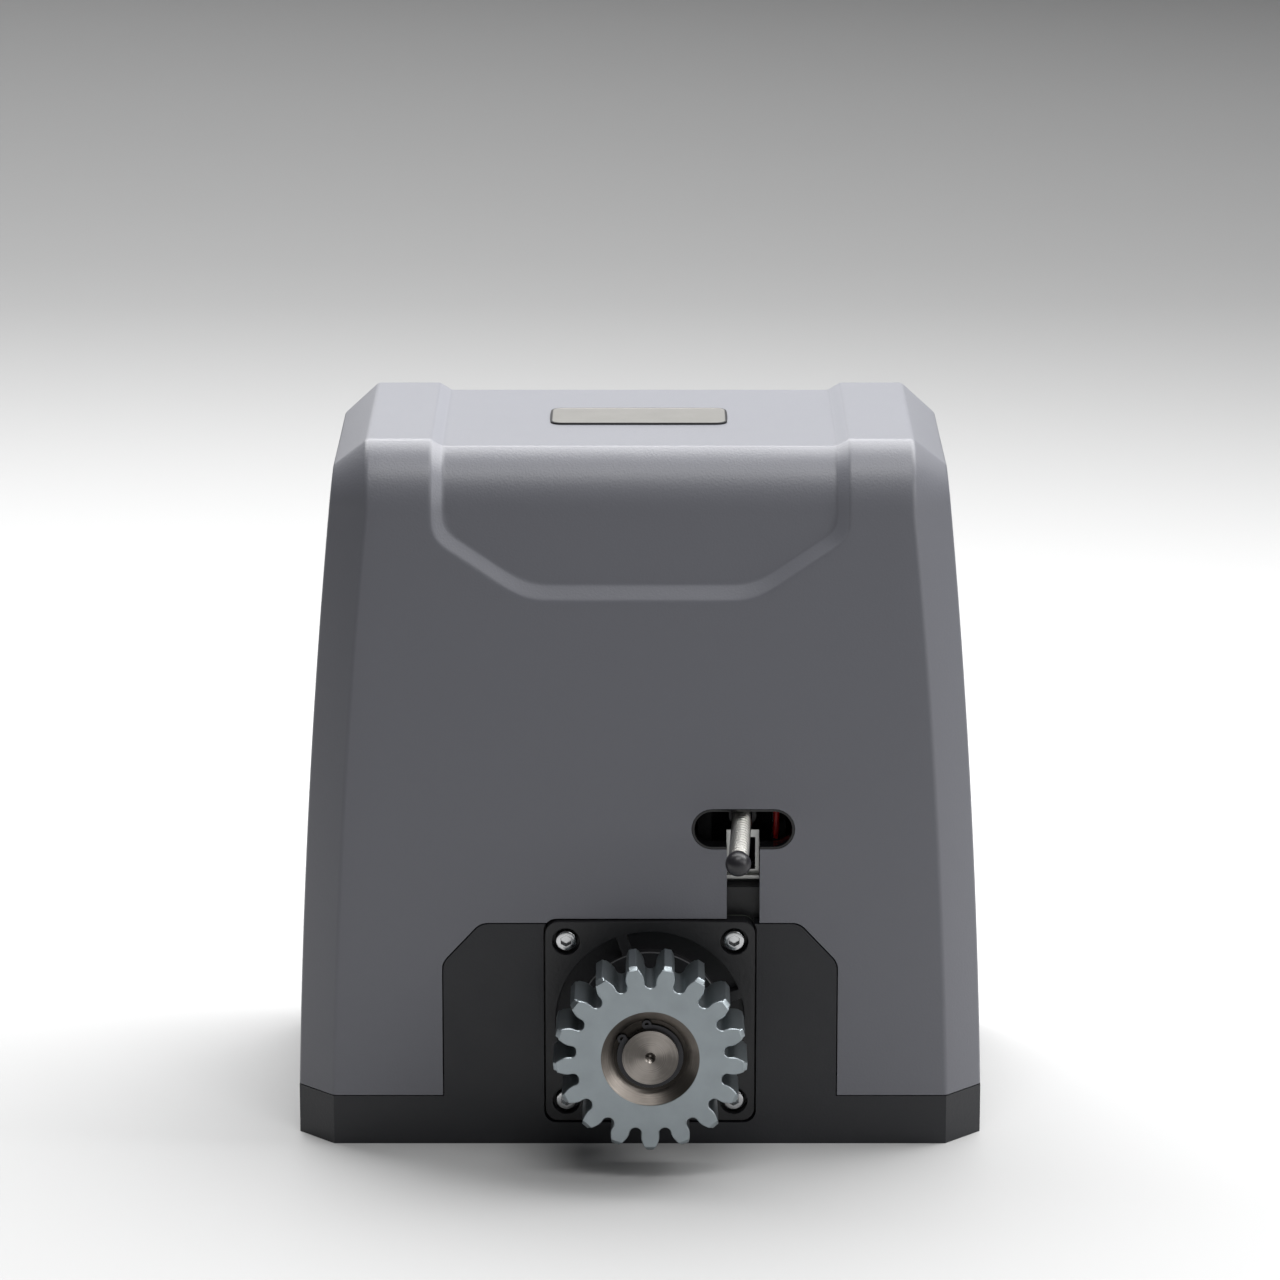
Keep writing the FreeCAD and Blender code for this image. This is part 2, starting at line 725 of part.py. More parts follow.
def make_flange():
    back = flange_back
    plate = flange_prism(0, flange_front, back)
    groove_end = flange_front + groove_depth
    groove = ring("y", shaft_x, shaft_z, flange_boss, flange_groove, flange_front, groove_end)
    for k in range(4):
        rib = box(shaft_x + flange_boss - 3, shaft_x + flange_groove + 3, flange_front - 1,
                  groove_end + 1, shaft_z - groove_rib / 2, shaft_z + groove_rib / 2)
        rib.rotate(Vector(shaft_x, 0, shaft_z), Vector(0, -1, 0), rib_turn + 90 * k)
        groove = groove.cut(rib)
    plate = plate.cut(groove).fuse(cyl("y", shaft_x, shaft_z, gear_bore - fit, back, spigot_end))
    seal_back = flange_front + seal_gap + seal_width
    front_bearing_y = seal_back + seal_lip
    plate = plate.cut(cyl("y", shaft_x, shaft_z, seal_radius, flange_front, seal_back))
    plate = plate.cut(cyl("y", shaft_x, shaft_z, bearing_seat + 1.5, seal_back, front_bearing_y))
    plate = plate.cut(cyl("y", shaft_x, shaft_z, front_bearing_outer, front_bearing_y, spigot_end))
    screws = []
    head_back = flange_front + head_height + 1.0
    for x, z in flange_screw_places():
        plate = plate.cut(cyl("y", x, z, head_recess, flange_front, head_back))
        plate = plate.cut(cyl("y", x, z, flange_screw, head_back, back))
        screws.append(socket_screw(x, z, head_back, shield_back + flange_screw_depth - 1))
    add("output_flange", plate)
    add("flange_screws", *screws)
    sheet = flange_prism(0, back, back + gasket_thick)
    sheet = sheet.cut(cyl("y", shaft_x, shaft_z, gear_bore, back, back + gasket_thick))
    for x, z in flange_screw_places():
        sheet = sheet.cut(cyl("y", x, z, flange_screw, back, back + gasket_thick))
    add("flange_gasket", sheet)
    seal_front = flange_front + seal_gap
    seal = ring("y", shaft_x, shaft_z, bearing_seat + fit, seal_radius, seal_front, seal_back)
    lip = ring("y", shaft_x, shaft_z, bearing_seat + 1.5, seal_radius - 2, seal_front, seal_front + 1.2)
    add("oil_seal", seal.cut(lip))
    add("front_bearing", bearing("y", shaft_x, shaft_z, bearing_seat + fit, front_bearing_outer,
                                 front_bearing_y, front_bearing_width))
    add("rear_bearing", bearing("y", shaft_x, shaft_z, rear_seat + fit, rear_bearing_outer,
                                gear_bore_end, rear_bearing_width))


def gear_outline(teeth, module, place_angle):
    """Rounded spur teeth: a flank arc each side of a slightly rounded tip, joined by root arcs."""
    pitch_radius = module * teeth / 2
    tip = pitch_radius + module
    root = pitch_radius - 1.25 * module
    pitch = 2 * math.pi / teeth
    half_root, half_pitch, half_tip = 0.33 * pitch, 0.235 * pitch, 0.095 * pitch
    edges = []

    def at(radius, angle):
        turn = place_angle + angle
        return Vector(shaft_x + radius * math.cos(turn), 0, shaft_z + radius * math.sin(turn))

    for k in range(teeth):
        mid = k * pitch
        edges += [
            Part.Arc(at(root, mid - half_root), at(pitch_radius, mid - half_pitch),
                     at(tip - 0.25 * module, mid - half_tip - 0.02 * pitch)).toShape(),
            Part.Arc(at(tip - 0.25 * module, mid - half_tip - 0.02 * pitch), at(tip, mid),
                     at(tip - 0.25 * module, mid + half_tip + 0.02 * pitch)).toShape(),
            Part.Arc(at(tip - 0.25 * module, mid + half_tip + 0.02 * pitch),
                     at(pitch_radius, mid + half_pitch), at(root, mid + half_root)).toShape(),
            Part.Arc(at(root, mid + half_root), at(root, mid + pitch / 2),
                     at(root, mid + pitch - half_root)).toShape(),
        ]
    return Part.Wire(edges)


def make_pinion():
    back = pinion_face + pinion_width
    wire = gear_outline(pinion_teeth, gear_module, -math.pi / 2)
    gear = Part.Face(wire).extrude(Vector(0, pinion_width, 0))
    gear.translate(Vector(0, pinion_face, 0))
    tip = gear_module * (pinion_teeth + 2) / 2
    blank = Part.makeCone(tip - 0.8, tip + 0.2, 1.0, Vector(shaft_x, pinion_face, shaft_z), Vector(0, 1, 0))
    blank = blank.fuse(cyl("y", shaft_x, shaft_z, tip + 0.2, pinion_face + 1, back - 1))
    blank = blank.fuse(Part.makeCone(tip + 0.2, tip - 0.8, 1.0, Vector(shaft_x, back - 1, shaft_z),
                                     Vector(0, 1, 0)))
    gear = gear.common(blank)
    gear = gear.fuse(cyl("y", shaft_x, shaft_z, pinion_hub, back, shoulder_y))
    sunk = cone_outer - cone_inner
    gear = gear.cut(Part.makeCone(cone_outer, cone_inner, sunk, Vector(shaft_x, pinion_face, shaft_z),
                                  Vector(0, 1, 0)))
    gear = gear.cut(cyl("y", shaft_x, shaft_z, shaft_radius + fit, pinion_face, shoulder_y))
    gear = gear.cut(key_box(0.02))
    add("pinion", gear)
    add("pinion_key", key_box(0.0))
    floor_y = pinion_face + sunk
    clip = ring("y", shaft_x, shaft_z, shaft_radius - 0.8, circlip_radius,
                floor_y - circlip_thick, floor_y - 0.02)
    clip = clip.cut(circlip_gap(floor_y))
    lugs = []
    for angle in (96, 147):
        lug = cyl("y", shaft_x + circlip_radius * math.cos(math.radians(angle)),
                  shaft_z + circlip_radius * math.sin(math.radians(angle)), 1.9,
                  floor_y - circlip_thick, floor_y - 0.02)
        lug = lug.cut(cyl("y", shaft_x, shaft_z, shaft_radius + fit, floor_y - 2, floor_y))
        lug = lug.cut(cyl("y", shaft_x + (circlip_radius + 0.1) * math.cos(math.radians(angle)),
                          shaft_z + (circlip_radius + 0.1) * math.sin(math.radians(angle)), 0.8,
                          floor_y - 2, floor_y))
        lugs.append(lug)
    add("pinion_circlip", clip.fuse(lugs).removeSplitter())


def circlip_gap(floor_y):
    wedge = [(shaft_x, shaft_z, 0)]
    for angle in (103, 140):
        wedge.append((shaft_x + 30 * math.cos(math.radians(angle)),
                      shaft_z + 30 * math.sin(math.radians(angle)), 0))
    return prism(wedge, "xz", floor_y - 3, floor_y)


def key_box(grow):
    half = key_width / 2 + grow
    return box(shaft_x - half, shaft_x + half, pinion_face + 7 - grow, pinion_face + 7 + 22 + grow,
               shaft_z + shaft_radius - key_height, shaft_z + shaft_radius + key_height - 0.5 + grow)


def make_shaft():
    """Stepped output shaft with a key seat, circlip groove, centre drill and a slot for the cross pin."""
    steps = [
        (shaft_radius, shaft_end, shoulder_y),
        (bearing_seat, shoulder_y, front_bearing_end),
        (collar_radius, front_bearing_end, collar_end),
        (spline_radius, collar_end, wheel_front),
        (wheel_seat, wheel_front, gear_bore_end - 0.2),
        (rear_seat, gear_bore_end - 0.2, gear_bore_end + rear_bearing_width),
    ]
    shaft = cyl("y", shaft_x, shaft_z, *steps[0])
    for step in steps[1:]:
        shaft = shaft.fuse(cyl("y", shaft_x, shaft_z, *step))
    floor_y = pinion_face + cone_outer - cone_inner
    shaft = shaft.cut(ring("y", shaft_x, shaft_z, shaft_radius - 0.8, shaft_radius + 1,
                           floor_y - circlip_thick - 0.05, floor_y + 0.05))
    shaft = shaft.cut(Part.makeCone(2.2, 0.4, 2.2, Vector(shaft_x, shaft_end, shaft_z), Vector(0, 1, 0)))
    shaft = shaft.cut(key_box(0.0))
    shaft = shaft.cut(cyl("y", shaft_x, shaft_z, rod_radius + fit, rod_front - clutch_travel - 1,
                          gear_bore_end + rear_bearing_width))
    pin_y = (clutch_front + clutch_back) / 2
    half = cross_pin + 0.1
    shaft = shaft.cut(box(shaft_x - half, shaft_x + half, pin_y - half - clutch_travel, pin_y + half,
                          shaft_z - spline_radius - 1, shaft_z + spline_radius + 1))
    add("output_shaft", shaft)


def dogs(radius_in, radius_out, start, end, half_angle):
    pieces = []
    for k in range(dog_count):
        middle = 360 / dog_count * k
        piece = Part.makeCylinder(radius_out, end - start, Vector(shaft_x, start, shaft_z), Vector(0, 1, 0),
                                  2 * half_angle)
        piece = piece.cut(cyl("y", shaft_x, shaft_z, radius_in, start, end))
        piece.rotate(Vector(shaft_x, 0, shaft_z), Vector(0, 1, 0), middle - half_angle)
        pieces.append(piece)
    return pieces


def wheel_tooth(y):
    """One gap of the worm wheel at its left, turned with the worm's lead angle at distance y."""
    pitch_radius = worm_module * wheel_teeth / 2
    turn = math.degrees(y * worm_module / (2 * worm_radius * pitch_radius))
    half = math.pi * worm_module / 4 + backlash / 4
    rise = math.tan(math.radians(20))
    outer = pitch_radius + worm_module + 1
    inner = pitch_radius - 1.2 * worm_module
    spread = (outer - pitch_radius) * rise
    shrink = (pitch_radius - inner) * rise
    wide = half + spread
    narrow = half - shrink
    corners = [(outer, wide), (inner, narrow), (inner, -narrow), (outer, -wide)]
    points = [Vector(shaft_x - r, worm_y + y, shaft_z + t) for r, t in corners]
    wire = Part.makePolygon(points + points[:1])
    wire.rotate(Vector(shaft_x, 0, shaft_z), Vector(0, 1, 0), turn)
    return wire


def make_wheel():
    half = wheel_width / 2
    outer = worm_module * wheel_teeth / 2 + worm_module
    wheel = cyl("y", shaft_x, shaft_z, outer, wheel_front, wheel_front + wheel_width)
    gap = Part.makeLoft([wheel_tooth(-half - 0.5), wheel_tooth(half + 0.5)], True, True)
    gaps = []
    for k in range(wheel_teeth):
        piece = gap.copy()
        piece.rotate(Vector(shaft_x, 0, shaft_z), Vector(0, 1, 0), 360 / wheel_teeth * k)
        gaps.append(piece)
    wheel = wheel.cut(Part.makeCompound(gaps))
    dog_inner = collar_radius + 1.5
    wheel = wheel.fuse(dogs(dog_inner, clutch_radius - 1, wheel_front - dog_height, wheel_front, 14))
    wheel = wheel.cut(cyl("y", shaft_x, shaft_z, collar_radius,
                          wheel_front - dog_height, wheel_front + wheel_width))
    add("worm_wheel", wheel)
    add("wheel_bush", ring("y", shaft_x, shaft_z, wheel_seat + fit, collar_radius,
                           wheel_front, gear_bore_end - 0.3))


def make_clutch():
    body = ring("y", shaft_x, shaft_z, spline_radius + fit, clutch_radius, clutch_front, clutch_back)
    body = body.cut(ring("y", shaft_x, shaft_z, clutch_radius - 4, clutch_radius,
                         clutch_front + 4, clutch_front + 9))
    body = body.cut(Part.makeCompound(dogs(collar_radius + 1.2, clutch_radius - 0.7,
                                           clutch_back - dog_height - 0.3, clutch_back + 1, 14.6)))
    pin_y = (clutch_front + clutch_back) / 2
    pin_hole = cyl("z", shaft_x, pin_y, cross_pin, shaft_z - clutch_radius, shaft_z + clutch_radius)
    add("clutch_ring", body.cut(pin_hole))
    rod_end = hinge_y - cam_offset() * math.sin(math.radians(-45)) - cam_radius - cam_clearance
    rod = cyl("y", shaft_x, shaft_z, rod_radius, rod_front, rod_end)
    pin = cyl("z", shaft_x, pin_y, cross_pin, shaft_z - clutch_radius + 5, shaft_z + clutch_radius - 5)
    add("release_rod", rod.fuse(pin))
    add("clutch_spring", clutch_coil())


def clutch_coil():
    """Coil of square wire between the shaft's collar and the clutch ring."""
    inner = spline_radius + 0.3
    start = collar_end + 0.1
    length = clutch_front - start - spring_wire - 0.1
    corners = [(inner, 0), (inner + spring_wire, 0), (inner + spring_wire, spring_wire), (inner, spring_wire)]
    points = [Vector(r, 0, t) for r, t in corners]
    helix = Part.makeHelix(length / spring_turns, length, inner)
    coil = Part.Wire(helix.Edges).makePipeShell([Part.makePolygon(points + points[:1])], True, True)
    coil.rotate(Vector(), Vector(1, 0, 0), -90)
    coil.translate(Vector(shaft_x, start, shaft_z))
    return coil


def make_lever():
    """Release lever: cam round its hinge pin, handle lying flush in the rear face."""
    offset = cam_offset() * math.sin(math.radians(45))
    half = lever_height / 2
    cam = cyl("z", shaft_x - offset, hinge_y + offset, cam_radius, shaft_z - half, shaft_z + half)
    arm = prism([
        (shaft_x - offset, hinge_y + 2.5, 0),
        (shaft_x + lever_end, hinge_y + 2.5, 1.5),
        (shaft_x + lever_end, hinge_y + 10.4, 2.5),
        (shaft_x - offset, hinge_y + 10.4, 1.5),
    ], "xy", shaft_z - half, shaft_z + half)
    arm = arm.cut(box(shaft_x + lever_end - 8, shaft_x + lever_end + 1, hinge_y, hinge_y + 5.5,
                      shaft_z - half, shaft_z + half))
    lever = cam.fuse(arm).removeSplitter()
    lever = lever.cut(cyl("z", shaft_x, hinge_y, hinge_pin + fit, shaft_z - half, shaft_z + half))
    lock = shaft_x + lock_x
    lever = lever.cut(cyl("y", lock, shaft_z, lock_radius + fit, hinge_y, half_depth))
    add("release_lever", lever)
    add("lever_pin", cyl("z", shaft_x, hinge_y, hinge_pin, shaft_z - lever_pocket / 2 - 6,
                         shaft_z + lever_pocket / 2 + 8))
    barrel = cyl("y", lock, shaft_z, lock_radius, hinge_y - 1, hinge_y + 10.6)
    barrel = barrel.cut(box(lock - 0.8, lock + 0.8, hinge_y + 7, hinge_y + 11, shaft_z - 4, shaft_z + 4))
    tongue = prism([
        (lock - 4, shaft_z - 4, 3.9), (lock + tongue_length, shaft_z - 4, 3.0),
        (lock + tongue_length, shaft_z + 4, 3.0), (lock - 4, shaft_z + 4, 3.9),
    ], "xz", hinge_y - lock_tongue_back, hinge_y - 1)
    add("lock_cylinder", barrel.fuse(tongue))


def worm_thread():
    """Trapezoid ridge swept once round per lead along the shaft."""
    lead = math.pi * worm_module
    height = lead * worm_turns
    half = math.pi * worm_module / 4 - backlash / 4
    rise = math.tan(math.radians(20))
    tip = worm_radius + worm_module
    root = worm_radius - 1.2 * worm_module - 0.4
    start = shaft_z - (worm_turns + 0.5) / 2 * lead
    corners = [
        (root, -half - (worm_radius - root) * rise), (tip, -half + worm_module * rise),
        (tip, half - worm_module * rise), (root, half + (worm_radius - root) * rise),
    ]
    points = [Vector(motor_x + r, worm_y, start + t) for r, t in corners]
    profile = Part.makePolygon(points + points[:1])
    helix = Part.makeHelix(lead, height, worm_radius)
    helix.translate(Vector(motor_x, worm_y, start))
    return Part.Wire(helix.Edges).makePipeShell([profile], True, True)


def make_worm():
    root = worm_radius - 1.2 * worm_module
    cut_half = (worm_turns / 2 + 0.65) * math.pi * worm_module
    low_bearing_top = worm_floor + worm_bearing_width
    high_bearing_low = housing_top - 2 - worm_bearing_width
    steps = [
        (worm_bearing_inner - fit, worm_floor, low_bearing_top),
        (worm_bearing_inner + 1.5, low_bearing_top, shaft_z - cut_half),
        (root, shaft_z - cut_half, shaft_z + cut_half),
        (worm_bearing_inner + 1.5, shaft_z + cut_half, high_bearing_low),
        (worm_bearing_inner - fit, high_bearing_low, housing_top - 2),
        (worm_bearing_inner + 1.5, housing_top - 2, top_bearing_low),
        (worm_bearing_inner - fit, top_bearing_low, top_bearing_low + worm_bearing_width),
    ]
    shaft = cyl("z", motor_x, worm_y, *steps[0])
    for step in steps[1:]:
        shaft = shaft.fuse(cyl("z", motor_x, worm_y, *step))
    add("worm_shaft", shaft.fuse(worm_thread()))
    add("worm_lower_bearing", bearing("z", motor_x, worm_y, worm_bearing_inner, worm_bearing_outer,
                                      worm_floor, worm_bearing_width))
    add("worm_upper_bearing", bearing("z", motor_x, worm_y, worm_bearing_inner, worm_bearing_outer,
                                      high_bearing_low, worm_bearing_width))
    add("motor_top_bearing", bearing("z", motor_x, worm_y, worm_bearing_inner, worm_bearing_outer,
                                     top_bearing_low, worm_bearing_width))
    add("rotor_core", ring("z", motor_x, worm_y, worm_bearing_inner + 1.5, core_bore - air_gap,
                           core_low + 2, core_high - 2))


def make_motor():
    sheet = ring("z", motor_x, worm_y, worm_bearing_outer, motor_radius,
                 motor_base, motor_base + gasket_sheet)
    low_end = ring("z", motor_x, worm_y, 14, motor_radius, motor_base + gasket_sheet, core_low)
    low_end = low_end.cut(ring("z", motor_x, worm_y, 24, 42, motor_base + gasket_sheet + 6, core_low))
    core = ring("z", motor_x, worm_y, core_bore, motor_radius, core_low, core_high)
    bell = cyl("z", motor_x, worm_y, motor_radius, core_high, bell_top)
    bell = bell.cut(ring("z", motor_x, worm_y, 21, 42, core_high, bell_top - 4))
    bell = bell.cut(cyl("z", motor_x, worm_y, 21.1, core_high, top_bearing_low - 3))
    bell = bell.cut(cyl("z", motor_x, worm_y, worm_bearing_outer, top_bearing_low - 3,
                        top_bearing_low + worm_bearing_width))
    screws = []
    for x, y in tie_places():
        hole = cyl("z", x, y, tie_screw, motor_base, bell_top)
        sheet, low_end, core, bell = [shape.cut(hole) for shape in (sheet, low_end, core, bell)]
        screw = cyl("z", x, y, tie_screw, motor_base - tie_depth + 0.5, bell_top)
        screws.append(screw.fuse(cyl("z", x, y, head_radius, bell_top, bell_top + head_height)))
    add("motor_gasket", sheet)
    add("motor_flange", low_end)
    add("stator_core", core)
    add("stator_windings",
        ring("z", motor_x, worm_y, 29, 41, core_low - 10, core_low),
        ring("z", motor_x, worm_y, 29, 41, core_high, core_high + 12))
    add("motor_end_bell", bell)
    add("motor_tie_screws", *screws)


# Limit switch on the gearbox, its spring reaching out through the hood's window


def make_limit():
    left = limit_x - window_slot / 2
    right = limit_x + window_slot / 2
    foot = box(limit_x - switch_half, limit_x + switch_half, bracket_front, switch_back,
               housing_top, housing_top + bracket_sheet)
    frame_top = limit_z - spring_outer - 0.4
    frame = box(left, right, bracket_front, bracket_front + bracket_sheet, housing_top, frame_top)
    frame = frame.cut(box(left + bracket_sheet, right - bracket_sheet, bracket_front - 1,
                          bracket_front + 3, switch_low + 0.8, frame_top - 3.1))
    legs = [box(limit_x + side * switch_half - (bracket_sheet if side > 0 else 0),
                limit_x + side * switch_half + (bracket_sheet if side < 0 else 0),
                switch_front + 4, switch_back, housing_top, switch_low) for side in (-1, 1)]
    lip_low = housing_top + 1.6
    lip = box(left, right, bracket_front - 3, bracket_front, lip_low, lip_low + bracket_sheet)
    add("limit_bracket", foot.fuse(frame).fuse(legs).fuse(lip).removeSplitter())
    floor = box(limit_x - switch_half, limit_x + switch_half, switch_front, switch_back,
                switch_low, switch_low + 2)
    back = box(limit_x - switch_half, limit_x + switch_half, switch_back - 2, switch_back,
               switch_low, switch_high)
    roof = floor.copy()
    roof.translate(Vector(0, 0, switch_high - switch_low - 2))
    case = floor.fuse(back).fuse(roof).removeSplitter()
    pin = cyl("z", limit_x, limit_pivot_y, 2.0, switch_low, switch_high)
    add("limit_switch_housing", case.cut(pin))
    add("rocker_pin", pin)
    hub_low = switch_low + 2.3
    hub_high = switch_high - 2.3
    hub = cyl("z", limit_x, limit_pivot_y, 5, hub_low, hub_high)
    socket = cyl("y", limit_x, limit_z, spring_outer + 1.5, limit_pivot_y - 10, limit_pivot_y)
    tail = box(limit_x - 2.5, limit_x + 2.5, limit_pivot_y, tail_end, limit_z - 9, limit_z + 9)
    rocker = hub.fuse(socket).fuse(tail)
    rocker = rocker.cut(cyl("z", limit_x, limit_pivot_y, 2.0 + fit, hub_low, hub_high))
    spring = ring("y", limit_x, limit_z, spring_bore, spring_outer, spring_end, spring_start)
    spring.rotate(Vector(limit_x, spring_start, limit_z), Vector(0, 0, 1), -spring_yaw)
    hole = cyl("y", limit_x, limit_z, spring_outer, spring_end, spring_start)
    hole.rotate(Vector(limit_x, spring_start, limit_z), Vector(0, 0, 1), -spring_yaw)
    add("limit_rocker", rocker.cut(hole))
    add("limit_spring", spring)
    ball = Part.makeSphere(tip_radius, Vector(limit_x, tip_y, limit_z))
    ball = ball.fuse(cyl("y", limit_x, limit_z, spring_bore, tip_y, spring_end + 10))
    shell = cyl("y", limit_x, limit_z, spring_outer + 1, spring_end, spring_start)
    shell = shell.cut(cyl("y", limit_x, limit_z, spring_bore, spring_end, spring_start))
    ball = ball.cut(shell)
    ball.rotate(Vector(limit_x, spring_start, limit_z), Vector(0, 0, 1), -spring_yaw)
    add("spring_tip", ball)
    switches = []
    for side, name in ((-1, "left_plunger"), (1, "right_plunger")):
        near = tail_reach() + plunger_length
        bodies = sorted((limit_x + side * near, limit_x + side * (near + switch_thick)))
        body = box(*bodies, plunger_y - 10, plunger_y + 8, switch_low + 2, limit_z + 8)
        body = body.cut(cyl("x", plunger_y, limit_z, plunger_radius + fit, limit_x - 30, limit_x + 30))
        switches.append(body)
        ends = sorted((limit_x + side * (tail_reach() + 0.1), limit_x + side * (near + 2.4)))
        add(name, cyl("x", plunger_y, limit_z, plunger_radius, *ends))
    add("microswitches", *switches)


def tail_reach():
    """How far the rocker's tail comes sideways at the end of its swing."""
    turn = math.radians(swing)
    return (tail_end - limit_pivot_y) * math.sin(turn) + 2.5 * math.cos(turn)


# Control electronics on a tray beside the motor


def make_board():
    plate = box(tray_x, tray_x + tray_thick, board_front - 6, board_back + 6, floor_thick, board_high + 6)
    plate = plate.cut(box(tray_x - 1, tray_x + 5, board_front + 6, board_back - 6,
                          floor_thick + 19, board_low - 26))
    posts, holes, screws = [], [], []
    for y in (board_front + 6, board_back - 6):
        for z in (board_low + 6, board_high - 6):
            posts.append(cyl("x", y, z, 4, tray_x + tray_thick, board_x))
            holes.append(cyl("x", y, z, 1.5, tray_x + tray_thick, board_x + board_thick))
            screws.append(cyl("x", y, z, 1.5, tray_x + tray_thick + 1, board_x + board_thick)
                          .fuse(cyl("x", y, z, 2.8, board_x + board_thick, board_x + board_thick + 1.8)))
    drill = Part.makeCompound(holes)
    add("board_tray", plate.fuse(posts).cut(drill))
    board = box(board_x, board_x + board_thick, board_front, board_back, board_low, board_high)
    add("circuit_board", board.cut(drill))
    add("board_screws", *screws)
    face = board_x + board_thick
    relay_y = [board_front + 14 + 26 * k for k in range(3)]
    relay_z = board_low + 58
    add("relays", *[box(face, face + 15, y, y + 19, relay_z, relay_z + 16) for y in relay_y])
    block_y = [board_front + 12 + 22 * k for k in range(3)]
    add("terminal_blocks", *[box(face, face + 9, y, y + 20, board_low + 3, board_low + 13) for y in block_y])
    fuse_z = relay_z + 29
    add("fuse_holder", box(face, face + 9, board_front + 14, board_front + 38, fuse_z, fuse_z + 9))
    make_transformer()


def make_transformer():
    """Laminated core on a foot plate, its winding standing out at both ends."""
    middle = board_back - 15
    foot = floor_thick + 25
    left = tray_x + 8
    core = box(left, left + core_thick, middle - core_half, middle + core_half,
               foot + 3, foot + 3 + core_tall)
    coil = box(left + 4, left + core_thick - 4, middle - core_half - coil_out, middle + core_half + coil_out,
               foot + 11, foot + core_tall - 5)
    feet = box(tray_x + tray_thick, left + core_thick, middle - core_half, middle + core_half, foot, foot + 3)
    add("transformer", core.fuse(coil).fuse(feet).removeSplitter())


def make_lead():
    """Wire from the right microswitch up past the window and over to a terminal block."""
    x = limit_x + tail_reach() + plunger_length + lead_radius + 0.1
    front = switch_front - 3.0
    high_run = switch_high + 15.0
    end_x = board_x + board_thick + 4.5
    end_y = board_front + 22.0
    spots = [
        Vector(x, plunger_y - 10, limit_z - 9.5), Vector(x, front, limit_z - 9.5), Vector(x, front, high_run),
        Vector(end_x, front, high_run), Vector(end_x, end_y, high_run), Vector(end_x, end_y, board_low + 13),
    ]
    edges = []
    here = spots[0]
    for before, corner, after in zip(spots, spots[1:], spots[2:]):
        back = (before - corner).normalize()
        ahead = (after - corner).normalize()
        start = corner + back * lead_bend
        end = corner + ahead * lead_bend
        middle = corner + (back + ahead) * lead_bend * (1 - math.sqrt(0.5))
        edges += [Part.makeLine(here, start), Part.Arc(start, middle, end).toShape()]
        here = end
    edges.append(Part.makeLine(here, spots[-1]))
    profile = Part.Wire(Part.makeCircle(lead_radius, spots[0], Vector(0, 1, 0)))
    add("switch_lead", Part.Wire(edges).makePipeShell([profile], True, False))


def make_capacitor():
    can = cyl("z", capacitor_x, capacitor_y, capacitor_radius,
              floor_thick + 6, floor_thick + 6 + capacitor_height)
    cap = cyl("z", capacitor_x, capacitor_y, capacitor_radius - 3, floor_thick + 6 + capacitor_height,
              floor_thick + 10 + capacitor_height)
    add("run_capacitor", can.fuse(cap))
    add("capacitor_clip", ring("z", capacitor_x, capacitor_y, capacitor_radius, capacitor_radius + 2,
                               floor_thick + 14, floor_thick + 34)
        .fuse(box(capacitor_x - 7, capacitor_x + 7, capacitor_y - capacitor_radius - 2,
                  capacitor_y - capacitor_radius, floor_thick, floor_thick + 34)))
    gland = cyl("z", cable_x, cable_y, cable_hole / 2, 0.4, floor_thick + 2)
    gland = gland.fuse(cyl("z", cable_x, cable_y, cable_hole / 2 + 3, floor_thick, floor_thick + 3))
    add("cable_gland", gland.cut(cyl("z", cable_x, cable_y, cable_bore / 2, 0, floor_thick + 3)))


def make_screws():
    add("cover_screws", *[cover_screw(place, 0.0, -0.3) for place in cover_screw_places()])
    add("housing_screws", *[housing_screw(place, head_sunk) for place in housing_screw_places()])


make_cover()
make_tray()
make_housing()
make_flange()
make_pinion()
make_shaft()
make_wheel()
make_clutch()
make_lever()
make_worm()
make_motor()
make_limit()
make_board()
make_lead()
make_capacitor()
make_screws()
for name, shape in parts.items():
    shape.exportStep("parts/" + name + ".step")
    print(name, len(shape.Solids), round(shape.Volume), shape.isValid())
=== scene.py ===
import json
import math

import bmesh
import bpy
import numpy as np
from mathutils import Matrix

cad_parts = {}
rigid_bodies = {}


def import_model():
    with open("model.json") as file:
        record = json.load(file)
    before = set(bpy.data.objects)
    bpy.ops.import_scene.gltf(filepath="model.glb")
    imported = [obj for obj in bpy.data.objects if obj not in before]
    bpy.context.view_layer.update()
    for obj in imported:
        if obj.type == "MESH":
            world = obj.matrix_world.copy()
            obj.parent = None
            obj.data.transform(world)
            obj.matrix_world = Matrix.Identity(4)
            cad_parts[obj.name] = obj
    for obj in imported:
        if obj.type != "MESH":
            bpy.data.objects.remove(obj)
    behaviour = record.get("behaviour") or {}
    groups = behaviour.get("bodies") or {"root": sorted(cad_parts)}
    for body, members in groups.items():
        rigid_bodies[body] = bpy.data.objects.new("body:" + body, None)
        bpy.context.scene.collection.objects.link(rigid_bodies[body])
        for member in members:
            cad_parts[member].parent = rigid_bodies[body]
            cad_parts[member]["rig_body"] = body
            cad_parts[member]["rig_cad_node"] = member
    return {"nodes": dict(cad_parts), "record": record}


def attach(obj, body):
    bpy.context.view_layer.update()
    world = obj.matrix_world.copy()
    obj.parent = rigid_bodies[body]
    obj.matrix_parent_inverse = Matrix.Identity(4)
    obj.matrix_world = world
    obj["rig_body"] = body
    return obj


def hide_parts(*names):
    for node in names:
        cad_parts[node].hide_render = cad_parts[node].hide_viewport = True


# Sliding gate motor. Lengths here are millimetres and become metres when a mesh is made.
MM = 0.001
SHARP = 32.0

